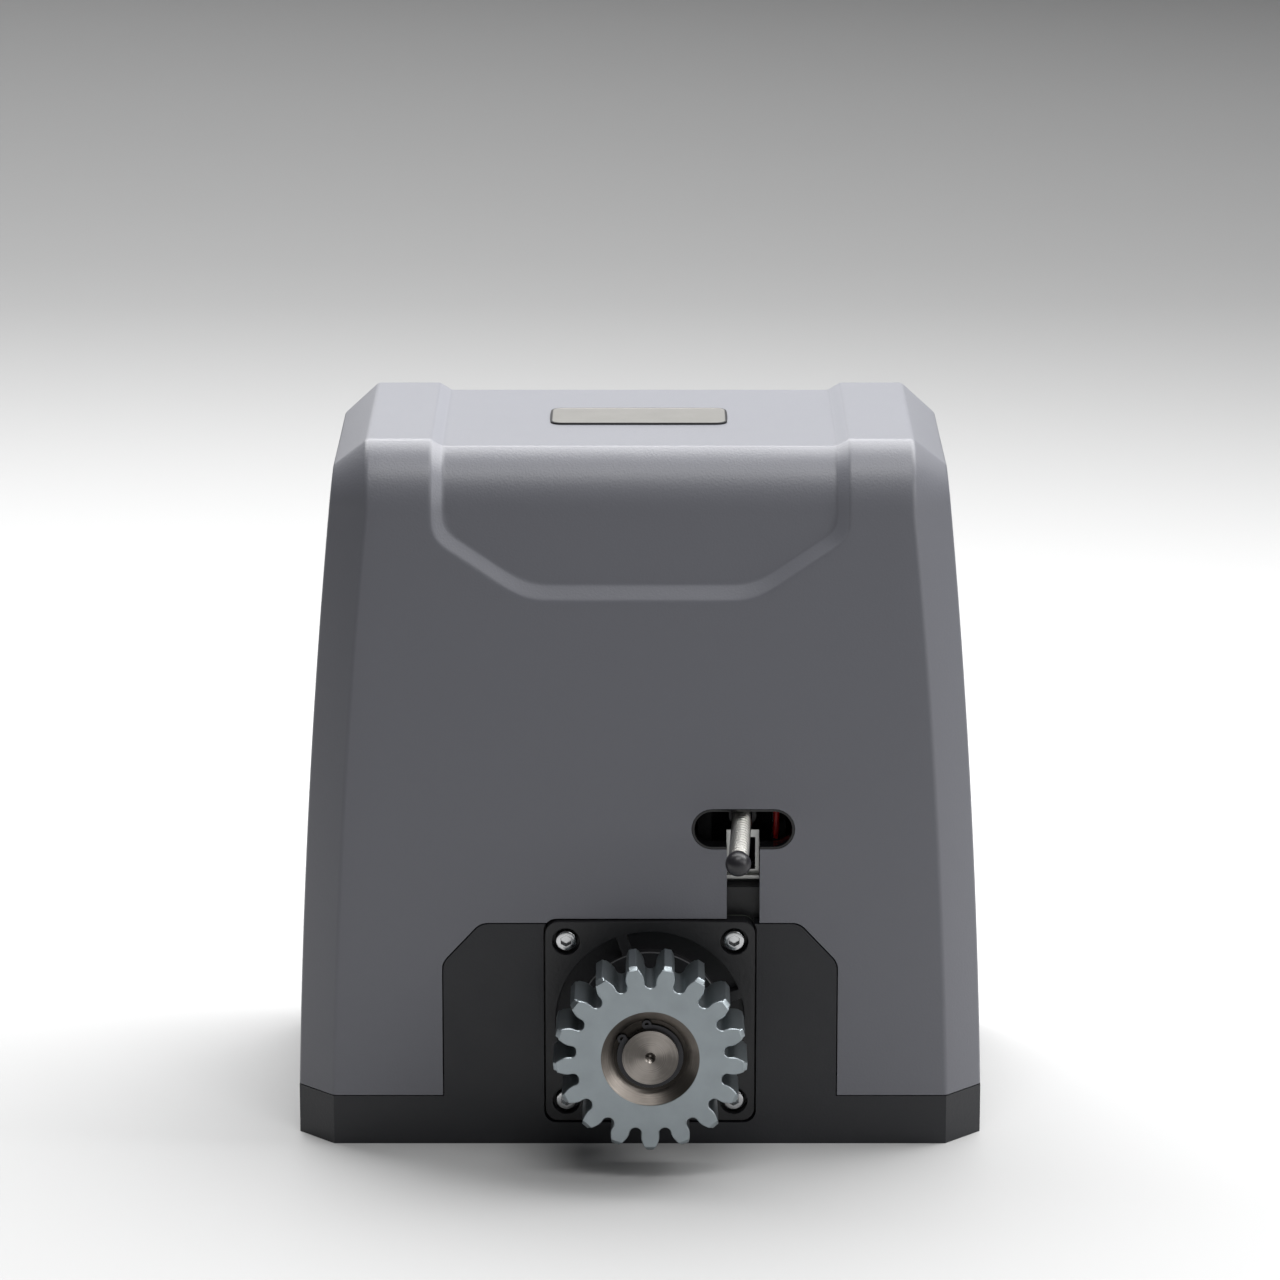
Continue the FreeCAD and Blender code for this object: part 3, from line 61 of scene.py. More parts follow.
# Hood: a lean that grows towards the top, cut corners, bevels beside the top and a rolled front edge
BODY_WIDTH = 273.0
BODY_DEPTH = 170.0
BODY_HEIGHT = 281.0
BAND = 20.0
HOOD_FOOT = 20.4
HOOD_WALL = 3.0
LEAN_LOW = math.radians(1.5)
LEAN_HIGH = math.radians(5.5)
LEAN_TOP = 255.0
LEAN_RADIUS = (LEAN_TOP - BAND) / (math.sin(LEAN_HIGH) - math.sin(LEAN_LOW))
ROLL_RADIUS = 32.0
ROLL_ROWS = 26
CORNER_LEG = 14.45
CORNER_SOFT = 1.3
BEVEL_OUT = 13.7
BEVEL_DOWN = 12.9

# Recess: its sides, its low edge, and corners that rise by 24.8 over 37 from the low edge to SLANT_TOP;
# each runs down over its own width of slope
RECESS_DEPTH = 3.0
RECESS_HALF = 82.0
RECESS_LOW = 220.5
SLANT_TOP = 245.3
SLANT_OUT = 37.0
SLANT_UP = 24.8
SIDE_RUN = 5.0
LOW_RUN = 6.5
SLANT_RUN = 5.6
SIDE_SOFT = 1.3
LOW_SOFT = 1.1

# Openings in the hood: the shield's, whose upper corners are cut, the lever's at the rear, the window, and
# the bracket's slot below it
SHIELD_HALF = 78.5
SHIELD_SHOULDER = 75.25
SHIELD_TOP_HALF = 63.25
SHIELD_TOP = 91.5
LEVER_LEFT = -24.5
LEVER_RIGHT = 76.5
LEVER_TOP = 84.5
OPENING_ROUND = 7.0
WINDOW_LEFT = 20.5
WINDOW_RIGHT = 20.4
WINDOW_RISE = 8.2
BRACKET_HALF = 6.5
BRACKET_LOW = 88.0
BRACKET_HIGH = 126.0

# Front and what sticks out of it
SHAFT = (4.0, 51.0)
FRONT = -85.0
TEETH = 17
TIP_RADIUS = 38.0
SCREW_POINTS = 48
PINION_FACE = -129.4
PINION_WIDTH = 25.0
SHAFT_HOLE = 11.03
CONE_RADIUS = 19.25
FLANGE_SCREW = 33.3
FLANGE_ROOM = 42.2
LIMIT = (40.8, 129.5)
LIMIT_ROOT = -55.0
LIMIT_REACH = 67.0
LIMIT_YAW = math.radians(-2.3)

# Flank screws and nameplate
FLANK_Y = 48.0
FLANK_Z = 34.0
PLATE_MIDDLE = -0.5
PLATE_HALF = (35.0, 14.0)
PLATE_CORNER = 4.0

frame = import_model()
nodes = frame["nodes"]
SLOTS = {part["node"]: part["material_slot"] for part in frame["record"]["subparts"]}
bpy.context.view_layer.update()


# Materials
class Value:
    """A shader output that takes part in sums like a number."""

    def __init__(self, finish, socket):
        self.finish = finish
        self.socket = socket

    def math(self, operation, *others):
        return self.finish.node("ShaderNodeMath", {"operation": operation}, dict(enumerate((self,) + others)))

    def __add__(self, other):
        return self.math("ADD", other)

    def __sub__(self, other):
        return self.math("SUBTRACT", other)

    def __mul__(self, other):
        return self.math("MULTIPLY", other)

    def __truediv__(self, other):
        return self.math("DIVIDE", other)

    def __pow__(self, other):
        return self.math("POWER", other)

    __radd__ = __add__
    __rmul__ = __mul__

    def __rsub__(self, other):
        return (self * -1.0) + other

    def __rtruediv__(self, other):
        return (self ** -1.0) * other

    def step(self, low, high):
        """Smooth ramp from 0 at low to 1 at high."""
        return self.finish.node("ShaderNodeMapRange", {"interpolation_type": "SMOOTHSTEP"},
                                {"Value": self, "From Min": low, "From Max": high})


class Finish:
    """One procedural material in object coordinates."""

    def __init__(self, name, colour, roughness, metallic=0.0):
        self.material = bpy.data.materials.new(name)
        self.material.use_nodes = True
        self.tree = self.material.node_tree
        self.shader = self.tree.nodes["Principled BSDF"]
        self.place = self.node("ShaderNodeTexCoord", out="Object")
        self.set("Base Color", colour)
        self.set("Roughness", roughness)
        self.set("Metallic", metallic)

    def node(self, kind, settings=None, inputs=None, out=0):
        made = self.tree.nodes.new(kind)
        for key, value in (settings or {}).items():
            setattr(made, key, value)
        for key, value in (inputs or {}).items():
            self.feed(made.inputs[key], value)
        return Value(self, made.outputs[out])

    def feed(self, socket, value):
        if isinstance(value, Value):
            self.tree.links.new(value.socket, socket)
        elif isinstance(value, tuple) and socket.type == "RGBA":
            socket.default_value = (*value, 1.0)
        else:
            socket.default_value = value

    def set(self, name, value):
        self.feed(self.shader.inputs[name], value)

    def noise(self, size, detail=2.0):
        """Noise from 0 to 1 whose features are about size millimetres."""
        return self.node("ShaderNodeTexNoise", None,
                         {"Vector": self.place, "Scale": 1.0 / (size * MM), "Detail": detail}, out="Fac")

    def part(self, axis):
        """One coordinate in millimetres."""
        return self.node("ShaderNodeSeparateXYZ", None, {0: self.place}, out=axis) / MM

    def from_shaft(self):
        """Distances across and up from the output shaft's axis, and along the radius."""
        across = self.part("X") - SHAFT[0]
        up = self.part("Z") - SHAFT[1]
        return across, up, (across * across + up * up) ** 0.5

    def mix(self, mask, first, second):
        made = self.node("ShaderNodeMix", {"data_type": "RGBA"})
        mixer = made.socket.node
        self.feed(mixer.inputs["Factor"], mask)
        self.feed(mixer.inputs[6], first)
        self.feed(mixer.inputs[7], second)
        return Value(self, mixer.outputs[2])

    def bump(self, height, depth):
        """Raises the surface by height, which runs from 0 to 1, times depth in millimetres."""
        self.set("Normal", self.node("ShaderNodeBump", None, {"Height": height, "Distance": depth * MM,
                                                              "Strength": 1.0}, out="Normal"))


def linear(*colour):
    """sRGB values from 0 to 255 as linear light."""
    shares = [value / 255.0 for value in colour]
    return tuple(s / 12.92 if s <= 0.04045 else ((s + 0.055) / 1.055) ** 2.4 for s in shares)


def recess_runs(wide, high):
    """How far a point lies down the recess's side, its slanted corner and its low edge, each as a share of
    that slope's run: the distance to the edge's line over the run."""
    side = (RECESS_HALF - wide) / SIDE_RUN
    slant = (high - SLANT_TOP) * SLANT_OUT - (wide - RECESS_HALF) * SLANT_UP
    return side, slant / (math.hypot(SLANT_OUT, SLANT_UP) * SLANT_RUN), (high - RECESS_LOW) / LOW_RUN


def plastic(name, colour, roughness, grain=0.35, depth=0.03):
    """Moulded plastic: fine grain and slow change of gloss."""
    finish = Finish(name, colour, roughness)
    finish.set("Roughness", finish.noise(40.0) * 0.08 + (roughness - 0.04))
    finish.bump(finish.noise(grain, 3.0), depth)
    return finish.material


def moulded(name, colour, roughness):
    """The hood's grained plastic, a little paler on the slope round its recess: a painted highlight, as if
    that slope caught more light.
    """
    finish = Finish(name, colour, roughness)
    side, slant, low = recess_runs(finish.part("X").math("ABSOLUTE"), finish.part("Z"))
    share = side.math("SMOOTH_MIN", slant, SIDE_SOFT).math("SMOOTH_MIN", low, LOW_SOFT)
    # Painted highlight: the recess's slope is mixed towards a paler copy of the hood's colour.
    slope_highlight = share.step(0.02, 0.16) * (1.0 - share.step(0.84, 0.98))
    finish.set("Base Color", finish.mix(slope_highlight, colour, tuple(c * 1.22 for c in colour)))
    finish.set("Roughness", finish.noise(40.0) * 0.08 + (roughness - 0.04))
    finish.bump(finish.noise(0.9, 3.0), 0.075)
    return finish.material


def painted(name, colour, roughness, grain=1.4, depth=0.12):
    """Painted casting: slight orange peel and a little dust in the hollows."""
    finish = Finish(name, colour, roughness)
    rough = finish.noise(grain, 3.0)
    dust = finish.noise(22.0, 3.0).step(0.45, 0.8)
    finish.set("Base Color", finish.mix(dust * 0.35, colour, tuple(c * 1.5 + 0.004 for c in colour)))
    finish.set("Roughness", dust * 0.12 + roughness)
    finish.bump(rough, depth)
    return finish.material


def metal(name, colour, roughness, grain=0.5, depth=0.01, patch=0.12):
    """Bare or plated metal: cloudy gloss and a fine grain."""
    finish = Finish(name, colour, roughness, 1.0)
    cloud = finish.noise(9.0, 4.0)
    finish.set("Roughness", cloud * patch + (roughness - patch / 2))
    finish.set("Base Color", finish.mix(cloud, colour, tuple(c * 0.8 for c in colour)))
    finish.bump(finish.noise(grain, 2.0), depth)
    return finish.material


def turned(name, colour, roughness, plating=None):
    """Steel faced on a lathe: fine rings round the output shaft's axis, painted sheen in fans of light and
    dark by angle round it, and painted shade in a ring just outside the shaft's hole. With a plating colour,
    all but the turned recess is plated."""
    finish = Finish(name, colour, roughness, 1.0)
    across, up, radius = finish.from_shaft()
    rings = finish.node("ShaderNodeTexNoise", {"noise_dimensions": "1D"},
                        {"W": radius, "Scale": 2.6, "Detail": 3.0}, out="Fac")
    # Painted sheen: light and dark fans by angle round the axis, mixed into the colour in place of a turned
    # face's reflection.
    sheen_fan = (across * up * 1.6 + (up * up - across * across) * 0.45) / (radius * radius + 0.5)
    cloud = finish.noise(5.0, 4.0)
    shade = rings * 0.45 + cloud * 0.5 - sheen_fan * 0.42 + 0.1
    tone = finish.mix(shade.step(0.0, 1.0), colour, tuple(c * 0.34 for c in colour))
    gloss = rings * 0.16 + cloud * 0.1 + (roughness - 0.12)
    # Painted shade: the recessed ring between the shaft's hole and the cone's floor is darkened to near
    # black.
    shade_ring_end = 14.8
    shade_ring = (radius - SHAFT_HOLE).step(0.0, 0.3) * (shade_ring_end - radius).step(0.0, 0.5)
    tone = finish.mix(shade_ring * 0.85, tone, (0.006, 0.005, 0.004))
    if plating:
        bare = (CONE_RADIUS - radius).step(-0.15, 0.15)
        patch = finish.noise(7.0, 4.0)
        tone = finish.mix(bare, finish.mix(patch, plating, tuple(c * 0.82 for c in plating)), tone)
        gloss = bare * (gloss - 0.36) + patch * 0.08 + 0.34
        rings = bare * rings
    finish.set("Roughness", gloss)
    finish.set("Base Color", tone)
    finish.bump(rings, 0.02)
    return finish.material


def plate_metal(name, colour, edge):
    """Silver nameplate with a dark line round its edge, where the distance from a smaller rectangle, set in
    from the plate's edge, passes the line's start."""
    finish = Finish(name, colour, 0.5, 0.8)
    inset, line_start, line_full = 4.7, 4.1, 4.35
    across = (finish.part("X") - PLATE_MIDDLE).math("ABSOLUTE") - (PLATE_HALF[0] - inset)
    along = finish.part("Y").math("ABSOLUTE") - (PLATE_HALF[1] - inset)
    corner = across.math("MAXIMUM", 0.0) ** 2.0 + along.math("MAXIMUM", 0.0) ** 2.0
    line = (corner ** 0.5).step(line_start, line_full)
    cloud = finish.noise(14.0, 3.0)
    tone = finish.mix(cloud, colour, tuple(c * 0.8 for c in colour))
    finish.set("Base Color", finish.mix(line, tone, edge))
    finish.set("Roughness", cloud * 0.1 + 0.5)
    return finish.material


def edged(name, colour, roughness):
    """The painted flange, whose turned boss shows a hair of bare metal at its rim, painted pale as a
    highlight on that edge.
    """
    finish = Finish(name, colour, roughness)
    radius = finish.from_shaft()[2]
    rim_in, rim_out, rim_deep = 28.55, 29.2, 1.2
    # Painted highlight: a thin pale metallic ring at the boss's rim, near the flange's front.
    rim_highlight = (radius - rim_in).step(0.0, 0.12) * (rim_out - radius).step(0.0, 0.12)
    rim_highlight = rim_highlight * (FRONT + rim_deep - finish.part("Y")).step(0.0, 0.1)
    finish.set("Base Color", finish.mix(rim_highlight, colour, linear(150, 150, 152)))
    finish.set("Metallic", rim_highlight * 0.9)
    finish.set("Roughness", finish.noise(20.0) * 0.1 + (roughness - 0.05))
    finish.bump(finish.noise(1.5, 3.0), 0.1)
    return finish.material


FINISHES = {
    "hood_plastic": moulded("hood_plastic", linear(98, 99, 105), 0.4),
    "black_paint": painted("black_paint", linear(25, 26, 30), 0.42, 1.1, 0.07),
    "black_casting": painted("black_casting", linear(20, 20, 22), 0.42, 1.5, 0.12),
    "black_plastic": plastic("black_plastic", linear(26, 27, 30), 0.4),
    "gloss_black": plastic("gloss_black", linear(14, 14, 16), 0.16, 0.8, 0.01),
    "silver_plate": plate_metal("silver_plate", linear(108, 107, 104), linear(24, 24, 26)),
    "zinc_steel": metal("zinc_steel", linear(188, 194, 202), 0.32, 0.6, 0.008),
    "dull_zinc": metal("dull_zinc", linear(196, 197, 194), 0.34, 0.6, 0.008),
    "machined_steel": turned("machined_steel", linear(158, 152, 146), 0.36),
    "pinion_zinc": turned("pinion_zinc", linear(146, 139, 132), 0.36, linear(156, 164, 168)),
    "flange_black": edged("flange_black", linear(26, 26, 28), 0.4),
    "bright_screw": metal("bright_screw", linear(206, 207, 208), 0.17, 0.8, 0.006, 0.06),
    "spring_steel": metal("spring_steel", linear(232, 230, 224), 0.3, 0.6, 0.004, 0.06),
    "black_steel": metal("black_steel", linear(60, 60, 62), 0.38),
    "bronze": metal("bronze", linear(186, 146, 92), 0.34),
    "aluminium_casting": metal("aluminium_casting", linear(168, 170, 172), 0.5, 1.0, 0.05),
    "lamination": metal("lamination", linear(120, 122, 126), 0.45, 0.6, 0.03),
    "copper_winding": metal("copper_winding", linear(190, 110, 70), 0.35, 0.9, 0.12),
    "rubber": plastic("rubber", linear(30, 29, 33), 0.34, 0.8, 0.02),
    "gasket_paper": plastic("gasket_paper", linear(74, 80, 72), 0.8, 0.6, 0.03),
    "white_plastic": plastic("white_plastic", linear(220, 220, 214), 0.45),
    "board_green": plastic("board_green", linear(24, 84, 50), 0.4, 1.5, 0.02),
    "terminal_green": plastic("terminal_green", linear(44, 128, 72), 0.45),
    "wire_red": plastic("wire_red", linear(170, 14, 10), 0.45),
    "can_aluminium": metal("can_aluminium", linear(186, 188, 190), 0.36, 0.5, 0.01),
}


# Meshes
def piece(name, points, faces, finish, body, replaced, sharp=SHARP):
    """Makes a closed mesh from millimetre points, shows it with a body and takes the place of CAD nodes."""
    show(scratch(name, points, faces), finish, body, replaced, sharp)


def show(shape, finish, body, replaced, sharp):
    """Gives a mesh its finish and smooth faces, and hangs it on its body in place of CAD nodes."""
    data = shape.data
    data.materials.clear()
    data.materials.append(FINISHES[finish])
    data.polygons.foreach_set("use_smooth", [True] * len(data.polygons))
    data.set_sharp_from_angle(angle=math.radians(sharp))
    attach(shape, body)
    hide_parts(*replaced)


def grid_faces(rows, columns, wrap=False):
    """Quads of a grid of points kept row by row; wrap joins the last column to the first."""
    row, column = np.meshgrid(np.arange(rows - 1), np.arange(columns if wrap else columns - 1), indexing="ij")
    after = (column + 1) % columns
    quads = np.stack([row * columns + column, row * columns + after,
                      (row + 1) * columns + after, (row + 1) * columns + column], -1)
    return quads.reshape(-1, 4).tolist()


def tube(rings, capped=True):
    """Points and faces of a skin over closed rings of equal count; flat caps close its two ends."""
    rings = np.asarray(rings)
    rows, count = rings.shape[:2]
    faces = grid_faces(rows, count, True)
    if capped:
        faces.append(list(range(count))[::-1])
        faces.append(list(range((rows - 1) * count, rows * count)))
    return rings.reshape(-1, 3), faces


def round_axis(centre, radius, y, angle):
    """Points about the line along Y through centre: the centre plus the radius times the angle's cosine
    across and its sine up, at depth y."""
    x, z = centre
    return np.stack([x + radius * np.cos(angle), y + 0 * angle, z + radius * np.sin(angle)], -1)


def turned_rings(profile, count, centre=SHAFT):
    """Rings of a surface turned about the line along Y through centre, one for each (radius, y) of the
    profile."""
    radius, y = np.array(profile, float).T[..., None]
    return round_axis(centre, radius, y, np.linspace(0, 2 * np.pi, count, endpoint=False))


def dressed(node, finish, body, width):
    """A copy of a CAD node with its edges softened by a small bevel; it takes the node's place."""
    shape = nodes[node].copy()
    shape.data = nodes[node].data.copy()
    shape.name = node + "_dressed"
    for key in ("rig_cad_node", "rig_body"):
        if key in shape:
            del shape[key]
    shape.parent = None
    bpy.context.scene.collection.objects.link(shape)
    weld = shape.modifiers.new("weld", "WELD")
    weld.merge_threshold = 2e-6
    flat = shape.modifiers.new("flat", "DECIMATE")
    flat.decimate_type = "DISSOLVE"
    flat.angle_limit = math.radians(0.5)
    bevel = shape.modifiers.new("bevel", "BEVEL")
    bevel.width = width * MM
    bevel.segments = 2
    bevel.limit_method = "ANGLE"
    bevel.angle_limit = math.radians(30)
    bevel.use_clamp_overlap = True
    bevel.miter_outer = "MITER_ARC"
    bake(shape)
    show(shape, finish, body, [node], SHARP)
    even = shape.modifiers.new("even", "WEIGHTED_NORMAL")
    even.keep_sharp = True


def bake(shape):
    """Keeps the result of an object's modifiers as its mesh."""
    view = bpy.context.evaluated_depsgraph_get()
    made = bpy.data.meshes.new_from_object(shape.evaluated_get(view), preserve_all_data_layers=False,
                                           depsgraph=view)
    shape.modifiers.clear()
    shape.data = made
    if made.attributes.get("custom_normal"):
        made.attributes.remove(made.attributes["custom_normal"])


def scratch(name, points, faces):
    """Mesh object from millimetre points, its faces turned outwards."""
    data = bpy.data.meshes.new(name)
    data.from_pydata((np.asarray(points) * MM).tolist(), [], faces)
    work = bmesh.new()
    work.from_mesh(data)
    bmesh.ops.recalc_face_normals(work, faces=work.faces)
    work.to_mesh(data)
    work.free()
    shape = bpy.data.objects.new(name, data)
    bpy.context.scene.collection.objects.link(shape)
    return shape


def carve(shape, points, faces):
    """Cuts a closed form out of a shape."""
    cutter = scratch("cutter", points, faces)
    cut = shape.modifiers.new("cut", "BOOLEAN")
    cut.operation = "DIFFERENCE"
    cut.solver = "EXACT"
    cut.object = cutter
    bake(shape)
    bpy.data.objects.remove(cutter)


# The hood's form
def lean(half, angle):
    """Wall arc that leans more towards the top: half span and height at an arc angle."""
    across = half - LEAN_RADIUS * math.cos(LEAN_LOW) + LEAN_RADIUS * np.cos(angle)
    return across, BAND + LEAN_RADIUS * (np.sin(angle) - math.sin(LEAN_LOW))


def span(half, height):
    """Half span of a wall at a height."""
    rise = np.asarray(height) - BAND + LEAN_RADIUS * math.sin(LEAN_LOW)
    return lean(half, np.arcsin(rise / LEAN_RADIUS))[0]


def bezier(first, middle, last, count):
    """Points of a quadratic curve, both ends left out."""
    share = np.linspace(0, 1, count + 2)[1:-1].reshape(-1, *([1] * np.ndim(first)))
    return (1 - share) ** 2 * first + 2 * share * (1 - share) * middle + share ** 2 * last


def hood_rows():
    """Lines along the front half of the hood, from its foot up the wall, over the roll and along the top.

    Gives the inner and the outer edge of the cut corner and bevel, as (x, y, z), and the crease's row. The
    wall follows the lean, the roll is an arc that meets it smoothly, and the outer edge of the roll is the
    same arc with a radius that shrinks until it lies on the flank. The wall's rows are closest where the
    recess's slopes cross it, and its corner eases into the roll's over the upper part of the wall."""
    ease_start = 150
    end_y, end_z = lean(BODY_DEPTH / 2, LEAN_HIGH)
    middle_y = end_y - ROLL_RADIUS * math.cos(LEAN_HIGH)
    middle_z = end_z - ROLL_RADIUS * math.sin(LEAN_HIGH)
    crease = math.asin((BODY_HEIGHT - middle_z) / ROLL_RADIUS)
    upper_x = span(BODY_WIDTH / 2, BODY_HEIGHT - BEVEL_DOWN) - BEVEL_OUT
    heights = np.concatenate([np.linspace(HOOD_FOOT, 212, 17), np.linspace(214, 250, 50), [252.5]])
    depth = span(BODY_DEPTH / 2, heights)
    wide = span(BODY_WIDTH / 2, heights)
    inner = np.stack([wide - CORNER_LEG, -depth, heights], -1)
    outer = np.stack([wide, CORNER_LEG - depth, heights], -1)
    angles = np.linspace(LEAN_HIGH, crease, ROLL_ROWS)
    roll_in = np.stack([np.full(ROLL_ROWS, upper_x), -middle_y - ROLL_RADIUS * np.cos(angles),
                        middle_z + ROLL_RADIUS * np.sin(angles)], -1)
    edge_x = np.full(ROLL_ROWS, upper_x + BEVEL_OUT)
    for _ in range(6):
        small = ROLL_RADIUS - (edge_x - upper_x) * BEVEL_DOWN / BEVEL_OUT
        edge_x = span(BODY_WIDTH / 2, middle_z + small * np.sin(angles))
    roll_out = np.stack([edge_x, -middle_y - small * np.cos(angles), middle_z + small * np.sin(angles)], -1)
    ease = np.clip((heights - ease_start) / (end_z - ease_start), 0, 1)[:, None] ** 2
    wall_end = np.array([span(BODY_WIDTH / 2, end_z) - CORNER_LEG, -end_y, end_z])
    side_end = np.array([span(BODY_WIDTH / 2, end_z), CORNER_LEG - end_y, end_z])
    inner[:, 0] += (ease * (roll_in[0] - wall_end))[:, 0]
    outer += ease * (roll_out[0] - side_end)
    share = np.concatenate([[0.034, 0.045, 0.07], np.linspace(0, 1, 10)[1:]])[:, None]
    flat_in = roll_in[-1] * (1 - share) + share * [upper_x, 0, BODY_HEIGHT]
    flat_out = roll_out[-1] * (1 - share) + share * [roll_out[-1][0], 0, roll_out[-1][2]]
    inner = np.concatenate([inner, roll_in, flat_in])
    outer = np.concatenate([outer, roll_out, flat_out])
    return inner, outer, len(heights) + ROLL_ROWS - 1


def recess_share(x, z):
    """How far a point lies down the recess, 0 on the shoulder to 1 on its floor.

    It is the smooth least of the three runs, with both ends of the slope rounded."""
    side, slant, low = recess_runs(np.abs(x), z)

    def least(a, b, soft):
        near = np.clip(soft - np.abs(a - b), 0, None) / soft
        return np.minimum(a, b) - near ** 2 * soft / 4
    share = least(least(side, slant, SIDE_SOFT), low, LOW_SOFT)
    soft = 0.06
    return np.clip((np.sqrt(share ** 2 + soft ** 2) - np.sqrt((share - 1) ** 2 + soft ** 2) + 1) / 2, 0, 1)


def unit(way):
    """Directions of length one."""
    return way / np.maximum(np.linalg.norm(way, axis=-1, keepdims=True), 1e-9)


def run_along(grid, axis):
    """Direction of a grid's lines at each point: the sum of the unit steps before and after it."""
    step = unit(np.diff(grid, axis=axis))
    first, last = np.take(step, [0], axis), np.take(step, [-1], axis)
    return np.concatenate([first, step], axis) + np.concatenate([step, last], axis)


def sunk(grid):
    """The grid sunk by the recess. Where two faces meet, the sink runs along their bisector and is longer
    by one over the cosine of half the turn, so that both faces sink by the same depth."""
    down = run_along(grid, 0)
    normal = unit(np.cross(run_along(grid, 1), down))
    flip = np.sign(np.sum(normal * (grid - [0, 0, 120]), axis=2, keepdims=True))
    mitre = 2.0 / np.maximum(np.linalg.norm(down, axis=2), 1.0)
    share = recess_share(grid[:, :, 0], grid[:, :, 2])
    share = np.where(grid[:, :, 2] > RECESS_LOW - LOW_RUN, share, 0)
    return grid - normal * flip * (RECESS_DEPTH * mitre * share)[:, :, None]


def hood_quarter():
    """A quarter of the hood's grid, from the middle of the front to the middle of the flank, and its crease's
    row. Each row runs straight over the front, round the cut corner's two softened edges, and on over the
    flank, where it climbs along a spine and x follows the lean. The columns are closest over the recess's
    slopes."""
    spine_foot, spine_rise = 200.0, 45.0
    inner, outer, crease = hood_rows()
    walk = np.concatenate([[0], np.cumsum(np.linalg.norm(np.diff(inner[:, 1:], axis=0), axis=1))])
    start = np.searchsorted(inner[:, 2], spine_foot)
    climb = np.clip((walk - walk[start]) / (walk[-1] - walk[start]), 0, 1)
    spine = np.where(np.arange(len(inner)) < start, outer[:, 2], spine_foot + spine_rise * climb)
    spine = np.minimum(spine, outer[:, 2])
    middle = np.stack([span(BODY_WIDTH / 2, spine), 0 * spine, spine], -1)
    along = unit(outer - inner) * CORNER_SOFT
    away = unit(middle - outer) * CORNER_SOFT
    columns = np.concatenate([np.linspace(0, 38, 8), np.linspace(40, 86, 58), np.linspace(90, 100, 3)])
    front = np.repeat(inner[None], len(columns), axis=0)
    front[..., 0] = columns[:, None]
    near = inner - [CORNER_SOFT, 0, 0]
    share = np.linspace(0, 1, 11)[:, None, None]
    flank = outer + away + share * (middle - outer - away)
    flank[..., 0] = span(BODY_WIDTH / 2, flank[..., 2])
    lines = np.concatenate([
        front, near[None], bezier(near, inner, inner + along, 4), (inner + along)[None],
        (inner + outer)[None] / 2, (outer - along)[None],
        bezier(outer - along, outer, outer + away, 4), flank])
    return lines.swapaxes(0, 1), crease


def hood_skin():
    """All rows of the hood's skin, each from the middle of its left flank over the front to the right one.

    A quarter of it is sunk by the recess; then its crease is rounded and it is mirrored twice."""
    rows, crease = hood_quarter()
    rows = sunk(rows)
    corner = rows[crease]
    before = corner + (rows[crease - 1] - corner) * 0.95
    ahead = rows[crease + 1] - corner
    length = np.linalg.norm(ahead, axis=1, keepdims=True)
    after = corner + ahead * np.minimum(1.0, 2.0 / np.maximum(length, 1e-6))
    rows = np.concatenate([rows[:crease], before[None], bezier(before, corner, after, 4), after[None],
                           rows[crease + 1:]])
    rows = np.concatenate([rows, rows[-2::-1] * [1, -1, 1]])
    return np.concatenate([rows[:, :0:-1] * [-1, 1, 1], rows], axis=1)


def rounded_outline(corners, count=8):
    """Flat outline through (u, v, radius) corners, each turned by an arc tangent to its two sides."""
    spots = np.array([corner[:2] for corner in corners], float)
    result = []
    for i, (u, v, radius) in enumerate(corners):
        here = spots[i]
        back = spots[i - 1] - here
        ahead = spots[(i + 1) % len(spots)] - here
        back /= np.linalg.norm(back)
        ahead /= np.linalg.norm(ahead)
        if radius <= 0:
            result.append(here[None])
            continue
        half = math.acos(np.clip(back @ ahead, -1, 1)) / 2
        middle = here + (back + ahead) / np.linalg.norm(back + ahead) * radius / math.sin(half)
        start = here + back * radius / math.tan(half) - middle
        end = here + ahead * radius / math.tan(half) - middle
        turn = math.atan2(start[0] * end[1] - start[1] * end[0], start @ end)
        angle = np.linspace(0, turn, count)[:, None]
        result.append(middle + start * np.cos(angle) + np.array([-start[1], start[0]]) * np.sin(angle))
    return np.concatenate(result)


def four_corners(left, right, low, high, below=0.0, above=0.0):
    """A rectangle's corners, with the radius of the two below and of the two above."""
    return [(left, low, below), (right, low, below), (right, high, above), (left, high, above)]


def wall_cutter(corners, near, far):
    """Prism through a flat front outline, between two depths."""
    flat = rounded_outline(corners)
    rings = [np.stack([flat[:, 0], np.full(len(flat), y), flat[:, 1]], -1) for y in (near, far)]
    return tube(rings)


